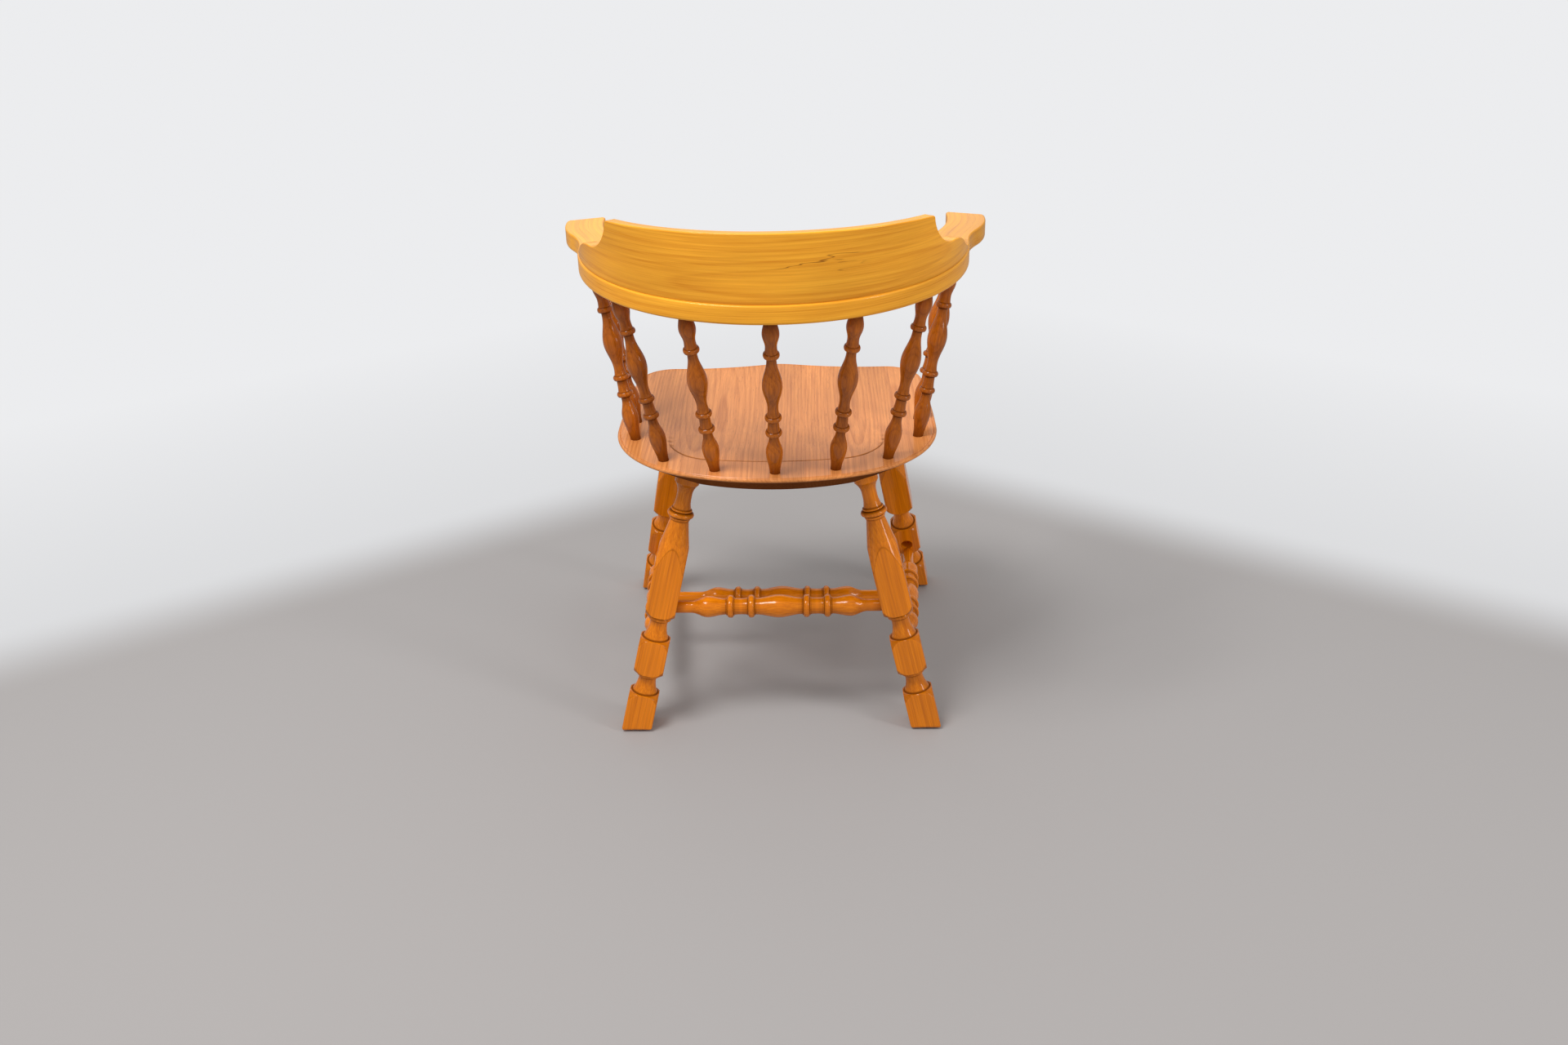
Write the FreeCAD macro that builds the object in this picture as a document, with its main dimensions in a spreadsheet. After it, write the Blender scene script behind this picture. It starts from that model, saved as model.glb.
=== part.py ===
import FreeCAD, Part
import math
import os
import re

import Sketcher
from FreeCAD import Placement, Rotation, Vector

# Captains chair: a bow-arm dining chair with seven turned spindles, turned-and-square legs and stretchers.
# Frame: +Z up, the sitter faces -Y, the rear of the back is at +Y, the floor is at z = 0.
# Places along the chair are stated as distances in front of the seat's rear edge.

os.makedirs("parts", exist_ok=True)
doc = FreeCAD.newDocument("captains_chair")
sheet = doc.addObject("Spreadsheet::Sheet", "Sheet")

SIZES = [
    # seat
    ("seat_rear_edge", 235.7),
    ("seat_height", 430.0),
    ("seat_fall", 1.6),
    ("seat_depth", 453.0),
    ("seat_half_width", 236.0),
    ("seat_widest_at", 185.0),
    ("seat_rear_radius", 362.0),
    ("seat_side_radius", 2300.0),
    ("seat_front_radius", 1150.0),
    ("seat_corner_radius", 70.0),
    ("seat_thickness", 44.0),
    ("seat_lip", 4.5),
    ("seat_bevel_inset", 62.0),
    ("seat_top_round", 2.5),
    ("seat_board_width", 135.0),
    ("seat_joint_at", -41.0),
    ("hollow_spread", 97.0),
    ("hollow_from_rear", 305.0),
    ("hollow_depth", 9.0),
    ("hollow_curve_height", 60.0),
    ("hollow_curve_width", 235.0),
    ("hollow_curve_length", 400.0),
    ("deck_line_from_rear", 62.5),
    ("deck_line_radius", 500.0),
    ("deck_line_half_run", 95.0),
    ("deck_line_end_radius", 75.0),
    ("deck_line_end_angle", 67.5),
    ("deck_line_width", 4.0),
    ("deck_line_depth", 1.6),
    # bow of the two arms
    ("arm_height", 681.6),
    ("arm_fall", 2.3),
    ("arm_thickness", 26.0),
    ("arm_centre_from_rear", 211.5),
    ("arm_outer_radius", 277.0),
    ("arm_inner_radius", 220.5),
    ("arm_round_angle", 88.0),
    ("arm_inner_round_angle", 86.0),
    ("hand_outer_flare", 35.0),
    ("hand_inner_flare", 35.5),
    ("hand_outer_forward", 111.5),
    ("hand_inner_forward", 123.5),
    ("hand_outer_straight", 15.0),
    ("hand_inner_straight", 21.0),
    ("hand_corner_radius", 9.0),
    ("arm_edge_round", 4.0),
    # crest rail on top of the bow
    ("crest_outer_radius", 275.5),
    ("crest_centre_forward", 2.0),
    ("crest_foot_thickness", 21.0),
    ("crest_top_thickness", 17.0),
    ("crest_lean", 3.4),
    ("crest_top_height", 787.6),
    ("crest_top_fall", 2.5),
    ("crest_end_angle", 89.0),
    ("crest_hollow_angle", 61.5),
    ("crest_corner_angle", 49.2),
    ("crest_corner_height", 90.9),
    ("crest_hollow_height", 38.5),
    ("crest_shoulder_run", 45.0),
    ("crest_shoulder_drop", 13.5),
    ("crest_feather", 0.4),
    # row of seven spindles and the two arm posts
    ("foot_inset", 25.0),
    ("foot_angle_second", 14.5),
    ("foot_angle_third", 40.6),
    ("foot_angle_fourth", 75.8),
    ("top_row_inset", 24.0),
    ("top_angle_second", 26.2),
    ("top_angle_third", 55.5),
    ("top_angle_fourth", 79.5),
    ("post_foot_inset", 24.0),
    ("post_foot_from_rear", 215.0),
    ("post_top_from_edge", 52.0),
    ("post_top_from_rear", 257.0),
    ("post_swell", 1.15),
    ("post_stretch", 1.04),
    ("spindle_foot_radius", 7.3),
    ("spindle_lower_vase_radius", 11.4),
    ("spindle_lower_vase_at", 36.0),
    ("spindle_lower_neck_radius", 6.5),
    ("spindle_lower_neck_at", 61.0),
    ("spindle_ring_radius", 10.9),
    ("spindle_ring_base_radius", 8.4),
    ("spindle_ring_width", 7.0),
    ("spindle_lower_ring_at", 69.2),
    ("spindle_upper_ring_at", 94.0),
    ("spindle_cove_radius", 7.4),
    ("spindle_waist_radius", 7.1),
    ("spindle_waist_at", 109.6),
    ("spindle_vase_radius", 13.3),
    ("spindle_vase_at", 146.0),
    ("spindle_upper_neck_radius", 6.5),
    ("spindle_upper_neck_at", 186.0),
    ("spindle_collar_at", 194.4),
    ("spindle_throat_radius", 7.6),
    ("spindle_throat_at", 207.6),
    ("spindle_bulb_radius", 10.9),
    ("spindle_bulb_at", 226.5),
    ("spindle_top_radius", 8.1),
    ("spindle_tenon", 14.0),
    # legs, distances along the leg from the floor
    ("leg_stock", 44.5),
    ("rear_foot_across", 220.0),
    ("rear_foot_from_rear", 55.0),
    ("rear_top_across", 129.0),
    ("rear_top_from_rear", 90.3),
    ("front_foot_across", 236.0),
    ("front_foot_from_rear", 521.0),
    ("front_top_across", 158.6),
    ("front_top_from_rear", 390.7),
    ("shoulder_fall", 13.0),
    ("shoulder_radius", 15.0),
    ("foot_block_top", 60.0),
    ("neck_wide_radius", 19.0),
    ("neck_narrow_radius", 13.0),
    ("neck_length", 26.0),
    ("step_radius", 17.0),
    ("middle_block_bottom", 93.0),
    ("middle_block_top", 151.0),
    ("upper_block_bottom", 189.5),
    ("taper_start", 258.0),
    ("taper_radius", 900.0),
    ("leg_neck_radius", 13.8),
    ("leg_neck_at", 342.0),
    ("leg_collar_radius", 19.5),
    ("leg_collar_at", 352.0),
    ("leg_collar_width", 8.0),
    ("leg_bead_radius", 15.6),
    ("leg_bead_width", 4.0),
    ("leg_groove_radius", 13.8),
    ("leg_waist_radius", 11.0),
    ("leg_waist_at", 378.0),
    ("leg_flare_radius", 17.8),
    ("leg_flare_length", 18.0),
    ("leg_tenon_radius", 12.5),
    ("leg_tenon", 24.0),
    ("glide_radius", 10.0),
    ("glide_thickness", 2.5),
    # stretchers
    ("rear_stretcher_height", 194.0),
    ("side_stretcher_rear_height", 118.0),
    ("side_stretcher_front_height", 82.0),
    ("stretcher_bulb_radius", 17.0),
    ("stretcher_ring_radius", 17.0),
    ("stretcher_ring_base_radius", 13.6),
    ("stretcher_ring_width", 8.6),
    ("stretcher_inner_ring_at", 41.0),
    ("stretcher_outer_ring_at", 72.0),
    ("stretcher_cove_radius", 12.0),
    ("stretcher_end_bulb_radius", 15.8),
    ("stretcher_end_bulb_at", 106.0),
    ("stretcher_end_bulb_half_length", 25.0),
    ("stretcher_end_radius", 8.8),
    ("stretcher_stop", 7.0),
    ("centre_tenon", 11.0),
    ("spare_socket_radius", 10.0),
    ("spare_socket_depth", 18.0),
    ("spare_socket_at", 115.0),
    ("fit_gap", 0.1),
    ("end_gap", 0.3),
]
for row, (alias, number) in enumerate(SIZES, start=1):
    sheet.set(f"A{row}", alias)
    sheet.set(f"B{row}", str(number))
    sheet.setAlias(f"B{row}", alias)
doc.recompute()
ALIASES = {alias for alias, _ in SIZES}
NODES = []


def size(alias):
    return float(sheet.get(alias))


def bound(text):
    """The expression with each alias written as a reference to the sheet."""
    def refer(word):
        return "Sheet." + word.group(0) if word.group(0) in ALIASES else word.group(0)

    return re.sub(r"[a-z_]+", refer, text)


def number_of(text):
    return float(sheet.evalExpression(bound(text)))


def bind(thing, **expressions):
    for prop, text in expressions.items():
        thing.setExpression(prop, bound(text))
    return thing


def node(thing, name):
    thing.Label = name
    NODES.append(thing)
    return thing


def along(start, finish):
    """Placement at start with +Z towards finish and +X kept level."""
    up = (finish - start).normalize()
    side = (Vector(1, 0, 0) - up * up.x).normalize()
    return Placement(start, Rotation(side, up.cross(side), up, "ZXY"))


def along_level(start, finish):
    """Placement at start with +Z towards finish and +Y as upright as it can be."""
    ahead = (finish - start).normalize()
    upright_axis = (Vector(0, 0, 1) - ahead * ahead.z).normalize()
    return Placement(start, Rotation(upright_axis.cross(ahead), upright_axis, ahead, "ZYX"))


def plane(body, role):
    for feature in body.Origin.OriginFeatures:
        if feature.Role == role:
            return feature
    raise RuntimeError("no plane " + role)


def new_sketch(body, name, role, offset=None):
    sketch = body.newObject("Sketcher::SketchObject", name)
    sketch.AttachmentSupport = [(plane(body, role), "")]
    sketch.MapMode = "FlatFace"
    if offset is not None:
        sketch.AttachmentOffset = offset
    return sketch


def arc_between(start, finish, radius, left):
    """Arc of under half a turn; left says on which side of the way the centre lies."""
    chord = finish - start
    rise = math.sqrt(max(radius * radius - chord.Length ** 2 / 4, 0.0))
    sign = 1 if left else -1
    centre = start + chord * 0.5 + Vector(-chord.y, chord.x, 0).normalize() * rise * sign
    first, last = (start, finish) if left else (finish, start)
    begin = math.atan2(first.y - centre.y, first.x - centre.x)
    end = math.atan2(last.y - centre.y, last.x - centre.x)
    return Part.ArcOfCircle(Part.Circle(centre, Vector(0, 0, 1), radius), begin, end)


def pinned(piece, end, x_text, y_text):
    """Constraints, with their expressions, that hold one end of a sketch piece at two bound coordinates."""
    held = []
    for kind, axis, text in (("DistanceX", -2, x_text), ("DistanceY", -1, y_text)):
        number = number_of(text)
        if abs(number) < 1e-9:
            held.append((Sketcher.Constraint("PointOnObject", piece, end, axis), None))
        else:
            held.append((Sketcher.Constraint(kind, -1, 1, piece, end, number), text))
    return held


def radius_of(piece, text):
    return (Sketcher.Constraint("Radius", piece, number_of(text)), text)


def constrain(sketch, held):
    """Adds all constraints at once, then binds those that have an expression."""
    first = sketch.ConstraintCount
    sketch.addConstraint([constraint for constraint, _ in held])
    for index, (_, text) in enumerate(held, start=first):
        if text is not None:
            sketch.setExpression(f"Constraints[{index}]", bound(text))


def draw_outline(sketch, start, moves):
    """Closed outline of lines (x, y) and arcs (x, y, radius, left), every corner and radius bound."""
    corners = [start] + [move[:2] for move in moves[:-1]]
    places = [Vector(number_of(x_text), number_of(y_text), 0) for x_text, y_text in corners]
    pieces = []
    ends = []
    for index, move in enumerate(moves):
        here = places[index]
        there = places[(index + 1) % len(places)]
        if len(move) == 2:
            pieces.append(Part.LineSegment(here, there))
            ends.append((index, 1, 2))
        else:
            pieces.append(arc_between(here, there, number_of(move[2]), move[3]))
            ends.append((index, 1, 2) if move[3] else (index, 2, 1))
    sketch.addGeometry(pieces)
    held = []
    for index, (piece, first, last) in enumerate(ends):
        after = ends[(index + 1) % len(ends)]
        held.append((Sketcher.Constraint("Coincident", piece, last, after[0], after[1]), None))
        held += pinned(piece, first, *corners[index])
        if len(moves[index]) == 4:
            held.append(radius_of(piece, moves[index][2]))
    constrain(sketch, held)


# Turned profiles: x is the radius and y runs along the piece. Each helper adds the moves of one form.

def ogee(at, radius, next_at, next_radius):
    """S-curve from one round form to the next, upright at both ends."""
    rise = f"(({next_at}) - ({at}))"
    swell = f"abs(({next_radius}) - ({radius}))"
    bend = f"({rise} * {rise} + {swell} * {swell}) / (4 * {swell})"
    middle = (f"(({radius}) + ({next_radius})) / 2", f"(({at}) + ({next_at})) / 2")
    growing = number_of(next_radius) > number_of(radius)
    return [(*middle, bend, not growing), (next_radius, next_at, bend, growing)]


def bead(from_at, to_at, base, peak):
    """Half-round ring between two places of the same base radius."""
    half = f"((({to_at}) - ({from_at})) / 2)"
    rise = f"abs(({peak}) - ({base}))"
    bend = f"({half} * {half} + {rise} * {rise}) / (2 * {rise})"
    return [(base, to_at, bend, number_of(peak) > number_of(base))]


def flare(at, radius, next_at, next_radius):
    """Quarter hollow that is upright at its narrow end."""
    rise = f"(({next_at}) - ({at}))"
    swell = f"abs(({next_radius}) - ({radius}))"
    bend = f"({rise} * {rise} + {swell} * {swell}) / (2 * {swell})"
    return [(next_radius, next_at, bend, False)]


def step(at, radius):
    """Sharp step in or out to another radius."""
    return [(radius, at)]


def turned_body(name, start, moves, placement):
    body = doc.addObject("PartDesign::Body", name)
    profile = new_sketch(body, name + "_profile", "XZ_Plane")
    draw_outline(profile, start, moves)
    turning = body.newObject("PartDesign::Revolution", name + "_turning")
    turning.Profile = profile
    turning.ReferenceAxis = (profile, ["V_Axis"])
    turning.Angle = 360
    body.Placement = placement
    return body


def cylinder(name, radius, height, placement):
    rod = doc.addObject("Part::Cylinder", name)
    bind(rod, Radius=radius, Height=height)
    rod.Placement = placement
    return rod


def shifted(placement, distance):
    """The same placement moved along its own +Z."""
    return placement.multiply(Placement(Vector(0, 0, distance), Rotation()))


def cut_all(name, base, tools):
    bundle = doc.addObject("Part::Compound", name + "_cutters")
    bundle.Links = tools
    result = doc.addObject("Part::Cut", name)
    result.Base = base
    result.Tool = bundle
    return result


HAND_OUTER = "(arm_outer_radius + hand_outer_flare)"
HAND_INNER = "(arm_inner_radius + hand_inner_flare)"

# Planes of the seat top and of the underside of the bow.

SEAT = Placement(
    Vector(0, size("seat_rear_edge"), size("seat_height")),
    Rotation(Vector(1, 0, 0), -size("seat_fall")),
)
BOW = Placement(
    Vector(0, size("seat_rear_edge") - size("arm_centre_from_rear"), size("arm_height")),
    Rotation(Vector(1, 0, 0), -size("arm_fall")),
)


def seat_corner_circle():
    """Centre and radius of the arc between the seat's rear curve and its widest place."""
    rear = size("seat_rear_radius")
    width = size("seat_half_width")
    ahead = rear - size("seat_widest_at")
    radius = (rear ** 2 - width ** 2 - ahead ** 2) / (2 * (rear - width))
    return Vector(width - radius, -size("seat_widest_at"), 0), radius


def foot_point(angle, side, on_corner):
    """Place of a spindle's foot on the seat, set in from its edge by foot_inset."""
    centre, radius = seat_corner_circle()
    if not on_corner:
        centre, radius = Vector(0, -size("seat_rear_radius"), 0), size("seat_rear_radius")
    reach = radius - size("foot_inset")
    turn = math.radians(angle)
    spot = centre + Vector(math.sin(turn), math.cos(turn), 0) * reach
    return SEAT.multVec(Vector(side * spot.x, spot.y, 0))


def top_point(angle, side):
    """Place of a spindle's top on the underside of the bow."""
    reach = size("arm_outer_radius") - size("top_row_inset")
    turn = math.radians(angle)
    behind = reach * math.cos(turn)
    return BOW.multVec(Vector(side * reach * math.sin(turn), behind, 0))


# Uprights: seven spindles and two stouter arm posts share one turned pattern.

def upright_profile(length, swell, stretch):
    def radius(alias):
        return f"{alias} * {swell}"

    def at(alias, shift=""):
        return f"spindle_tenon + {alias} * {stretch}{shift}"

    half_ring = f" - spindle_ring_width / 2 * {stretch}"
    ring_half = f" + spindle_ring_width / 2 * {stretch}"
    base = radius("spindle_ring_base_radius")
    ring = radius("spindle_ring_radius")
    seat_line = "spindle_tenon"
    arm_line = f"spindle_tenon + {length}"
    moves = [(radius("spindle_foot_radius"), "0")]
    moves += [(radius("spindle_foot_radius"), seat_line)]
    moves += ogee(seat_line, radius("spindle_foot_radius"),
                  at("spindle_lower_vase_at"), radius("spindle_lower_vase_radius"))
    moves += ogee(at("spindle_lower_vase_at"), radius("spindle_lower_vase_radius"),
                  at("spindle_lower_neck_at"), radius("spindle_lower_neck_radius"))
    moves += step(at("spindle_lower_ring_at", half_ring), radius("spindle_lower_neck_radius"))
    moves += step(at("spindle_lower_ring_at", half_ring), base)
    moves += bead(at("spindle_lower_ring_at", half_ring), at("spindle_lower_ring_at", ring_half), base, ring)
    moves += flare(at("spindle_lower_ring_at", ring_half), base,
                   at("spindle_upper_ring_at", half_ring), radius("spindle_cove_radius"))
    moves += step(at("spindle_upper_ring_at", half_ring), base)
    moves += bead(at("spindle_upper_ring_at", half_ring), at("spindle_upper_ring_at", ring_half), base, ring)
    moves += flare(at("spindle_upper_ring_at", ring_half), base,
                   at("spindle_waist_at"), radius("spindle_waist_radius"))
    moves += ogee(at("spindle_waist_at"), radius("spindle_waist_radius"),
                  at("spindle_vase_at"), radius("spindle_vase_radius"))
    moves += ogee(at("spindle_vase_at"), radius("spindle_vase_radius"),
                  at("spindle_upper_neck_at"), radius("spindle_upper_neck_radius"))
    moves += step(at("spindle_collar_at", half_ring), radius("spindle_upper_neck_radius"))
    moves += step(at("spindle_collar_at", half_ring), base)
    moves += bead(at("spindle_collar_at", half_ring), at("spindle_collar_at", ring_half), base, ring)
    moves += flare(at("spindle_collar_at", ring_half), base,
                   at("spindle_throat_at"), radius("spindle_throat_radius"))
    moves += ogee(at("spindle_throat_at"), radius("spindle_throat_radius"),
                  at("spindle_bulb_at"), radius("spindle_bulb_radius"))
    moves += ogee(at("spindle_bulb_at"), radius("spindle_bulb_radius"),
                  arm_line, radius("spindle_top_radius"))
    moves += [(radius("spindle_top_radius"), f"{arm_line} + spindle_tenon")]
    moves += [("0", f"{arm_line} + spindle_tenon"), ("0", "0")]
    return ("0", "0"), moves


def upright(name, foot, top, swell="1", stretch="1"):
    """One turned upright with its socket cutters for the seat and for the bow."""
    visible = (top - foot).Length
    lie = along(foot, top)
    tenon = size("spindle_tenon")
    start, moves = upright_profile(f"{visible:.4f}", swell, stretch)
    node(turned_body(name, start, moves, shifted(lie, -tenon)), name)
    depth = "2 * spindle_tenon + end_gap"
    seat_tool = cylinder(name + "_seat_socket", f"spindle_foot_radius * {swell} + fit_gap", depth,
                         shifted(lie, -tenon - size("end_gap")))
    bow_tool = cylinder(name + "_arm_socket", f"spindle_top_radius * {swell} + fit_gap", depth,
                        shifted(lie, visible - tenon))
    return seat_tool, bow_tool


seat_tools = []
bow_tools = []
spindle_row = [(size("foot_angle_fourth"), size("top_angle_fourth"), 1, True),
               (size("foot_angle_third"), size("top_angle_third"), 1, True),
               (size("foot_angle_second"), size("top_angle_second"), 1, False),
               (0.0, 0.0, 1, False),
               (size("foot_angle_second"), size("top_angle_second"), -1, False),
               (size("foot_angle_third"), size("top_angle_third"), -1, True),
               (size("foot_angle_fourth"), size("top_angle_fourth"), -1, True)]
for count, (foot_angle, top_angle, side, on_corner) in enumerate(spindle_row, start=1):
    foot = foot_point(foot_angle, side, on_corner)
    tools = upright(f"back_spindle_{count}", foot, top_point(top_angle, side))
    seat_tools.append(tools[0])
    bow_tools.append(tools[1])
for word, side in (("left", 1), ("right", -1)):
    foot = SEAT.multVec(Vector(side * (size("seat_half_width") - size("post_foot_inset")),
                               -size("post_foot_from_rear"), 0))
    top = BOW.multVec(Vector(side * number_of(f"{HAND_OUTER} - post_top_from_edge"),
                             size("arm_centre_from_rear") - size("post_top_from_rear"), 0))
    tools = upright(f"{word}_arm_post", foot, top, "post_swell", "post_stretch")
    seat_tools.append(tools[0])
    bow_tools.append(tools[1])


# Seat: a D-shaped blank of glued boards, hollowed for the sitter, with a carved line before the spindles.

def seat_outline(sketch):
    rear = size("seat_rear_radius")
    corner_centre, corner = seat_corner_circle()
    side_centre = Vector(size("seat_half_width") - size("seat_side_radius"), -size("seat_widest_at"), 0)
    front_centre = Vector(0, size("seat_front_radius") - size("seat_depth"), 0)
    small = size("seat_corner_radius")
    near = size("seat_side_radius") - small
    far = size("seat_front_radius") - small
    span = front_centre - side_centre
    reach = (near ** 2 - far ** 2 + span.Length ** 2) / (2 * span.Length)
    offset = math.sqrt(near ** 2 - reach ** 2)
    unit = Vector(span).normalize()
    small_centre = side_centre + unit * reach + Vector(unit.y, -unit.x, 0) * offset
    if small_centre.y > side_centre.y:
        small_centre = side_centre + unit * reach - Vector(unit.y, -unit.x, 0) * offset
    rear_centre = Vector(0, -rear, 0)
    joints = [
        rear_centre + (corner_centre - rear_centre).normalize() * rear,
        Vector(size("seat_half_width"), -size("seat_widest_at"), 0),
        small_centre + (small_centre - side_centre).normalize() * small,
        small_centre + (small_centre - front_centre).normalize() * small,
    ]
    radii = ["seat_rear_radius", None, "seat_side_radius", "seat_corner_radius", "seat_front_radius",
             "seat_corner_radius", "seat_side_radius", None]
    values = [rear, corner, size("seat_side_radius"), small, size("seat_front_radius"),
              small, size("seat_side_radius"), corner]
    mirrored = [Vector(-spot.x, spot.y, 0) for spot in joints]
    stops = [mirrored[0], joints[0], joints[1], joints[2], joints[3],
             mirrored[3], mirrored[2], mirrored[1], mirrored[0]]
    pieces = [sketch.addGeometry(arc_between(stops[k], stops[k + 1], values[k], False)) for k in range(8)]
    held = [(Sketcher.Constraint("Tangent", pieces[k], 1, pieces[(k + 1) % 8], 2), None) for k in range(8)]
    held += [radius_of(pieces[k], radii[k]) for k in (0, 2, 3, 4)]
    held.append((Sketcher.Constraint("Equal", pieces[3], pieces[5]), None))
    held.append((Sketcher.Constraint("Equal", pieces[2], pieces[6]), None))
    held += pinned(pieces[0], 3, "0", "-seat_rear_radius")
    held += pinned(pieces[4], 3, "0", "seat_front_radius - seat_depth")
    held += pinned(pieces[1], 1, "seat_half_width", "-seat_widest_at")
    held += pinned(pieces[7], 2, "-seat_half_width", "-seat_widest_at")
    held.append((Sketcher.Constraint("Horizontal", pieces[1], 3, pieces[1], 1), None))
    held.append((Sketcher.Constraint("Horizontal", pieces[7], 3, pieces[7], 2), None))
    constrain(sketch, held)


def edges_where(shape, test):
    return [f"Edge{k}" for k, edge in enumerate(shape.Edges, start=1) if test(edge)]


def rounded(body, name, base, edges, alias):
    feature = body.newObject("PartDesign::Fillet", name)
    feature.Base = (base, edges)
    bind(feature, Radius=alias)
    return feature


seat_body = doc.addObject("PartDesign::Body", "seat_blank")
seat_plan = new_sketch(seat_body, "seat_plan", "XY_Plane")
seat_outline(seat_plan)
seat_pad = seat_body.newObject("PartDesign::Pad", "seat_board_stock")
seat_pad.Profile = seat_plan
bind(seat_pad, Length="seat_thickness")
seat_pad.Reversed = True
doc.recompute()
under = edges_where(seat_pad.Shape, lambda edge: edge.BoundBox.ZMax < -size("seat_thickness") / 2)
seat_bevel = seat_body.newObject("PartDesign::Chamfer", "seat_under_bevel")
seat_bevel.Base = (seat_pad, under)
seat_bevel.ChamferType = "Two distances"
bind(seat_bevel, Size="seat_thickness - seat_lip", Size2="seat_bevel_inset")
doc.recompute()
over = edges_where(seat_bevel.Shape, lambda edge: edge.BoundBox.ZMin > -0.001)
seat_arris = rounded(seat_body, "seat_top_edge", seat_bevel, over, "seat_top_round")

deck_line = new_sketch(seat_body, "deck_line", "XY_Plane")
run = "deck_line_half_run / deck_line_radius"
rest = "(deck_line_radius - deck_line_end_radius)"
end_centre_x = f"({rest} * {run})"
end_centre_y = f"(-deck_line_from_rear - deck_line_radius + {rest} * sqrt(1 - ({run})^2))"


def deck_line_corner(shift, at_end, side):
    """A corner of the carved line: its outer or inner edge by shift, its tip or the bend's start by at_end."""
    if at_end:
        x_text = f"{end_centre_x} + (deck_line_end_radius {shift}) * sin(deck_line_end_angle)"
        y_text = f"{end_centre_y} + (deck_line_end_radius {shift}) * cos(deck_line_end_angle)"
    else:
        x_text = f"{end_centre_x} + (deck_line_end_radius {shift}) * {run}"
        y_text = f"{end_centre_y} + (deck_line_end_radius {shift}) * sqrt(1 - ({run})^2)"
    return (f"{side} * ({x_text})", y_text)


OUT = "+ deck_line_width / 2"
INN = "- deck_line_width / 2"
draw_outline(deck_line, deck_line_corner(OUT, True, -1), [
    (*deck_line_corner(OUT, False, -1), f"deck_line_end_radius {OUT}", False),
    (*deck_line_corner(OUT, False, 1), f"deck_line_radius {OUT}", False),
    (*deck_line_corner(OUT, True, 1), f"deck_line_end_radius {OUT}", False),
    deck_line_corner(INN, True, 1),
    (*deck_line_corner(INN, False, 1), f"deck_line_end_radius {INN}", True),
    (*deck_line_corner(INN, False, -1), f"deck_line_radius {INN}", True),
    (*deck_line_corner(INN, True, -1), f"deck_line_end_radius {INN}", True),
    deck_line_corner(OUT, True, -1),
])
deck_cut = seat_body.newObject("PartDesign::Pocket", "deck_line_cut")
deck_cut.Profile = deck_line
bind(deck_cut, Length="deck_line_depth")
seat_body.Placement = SEAT
doc.recompute()
if deck_cut.Shape.Volume >= seat_arris.Shape.Volume:
    raise RuntimeError("the carved line cuts nothing")


# Legs: a turned shape that is left square where it passes through the square stock.

def leg_profile(length):
    """Turned envelope, wider than the stock where the leg stays square."""
    corner = "leg_stock * 0.75"
    face = "leg_stock / 2"
    floor = "0"

    def shoulder_up(at):
        return [(corner, f"{at} - shoulder_fall"), (face, at, "shoulder_radius", True)]

    def shoulder_down(at):
        return [(face, at), (corner, f"{at} + shoulder_fall", "shoulder_radius", True)]

    def trumpet(at, finish):
        stop = f"{at} + neck_length"
        narrowing = flare(at, "neck_wide_radius", stop, "neck_narrow_radius")
        stem = step(stop, "step_radius") + step(finish, "step_radius")
        return [("neck_wide_radius", at)] + narrowing + stem

    collar_low = "leg_collar_at - leg_collar_width / 2"
    collar_high = "leg_collar_at + leg_collar_width / 2"
    bead_high = f"{collar_high} + leg_bead_width"
    tail = f"{length} - leg_flare_length"
    moves = [(corner, floor)]
    moves += shoulder_up("foot_block_top")
    moves += trumpet("foot_block_top", "middle_block_bottom")
    moves += shoulder_down("middle_block_bottom")
    moves += shoulder_up("middle_block_top")
    moves += trumpet("middle_block_top", "upper_block_bottom")
    moves += shoulder_down("upper_block_bottom")
    moves += step("taper_start", corner)
    moves += [("leg_neck_radius", "leg_neck_at", "taper_radius", False)]
    moves += step("leg_neck_at", "leg_bead_radius")
    moves += step(collar_low, "leg_bead_radius")
    moves += bead(collar_low, collar_high, "leg_bead_radius", "leg_collar_radius")
    moves += step(collar_high, "leg_groove_radius")
    moves += bead(collar_high, bead_high, "leg_groove_radius", "leg_bead_radius")
    moves += flare(bead_high, "leg_groove_radius", "leg_waist_at", "leg_waist_radius")
    moves += step(tail, "leg_waist_radius")
    moves += flare(tail, "leg_waist_radius", length, "leg_flare_radius")
    moves += [("leg_flare_radius", f"{length} + leg_flare_length"), ("0", f"{length} + leg_flare_length")]
    moves += [("0", floor)]
    return ("0", floor), moves


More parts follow.
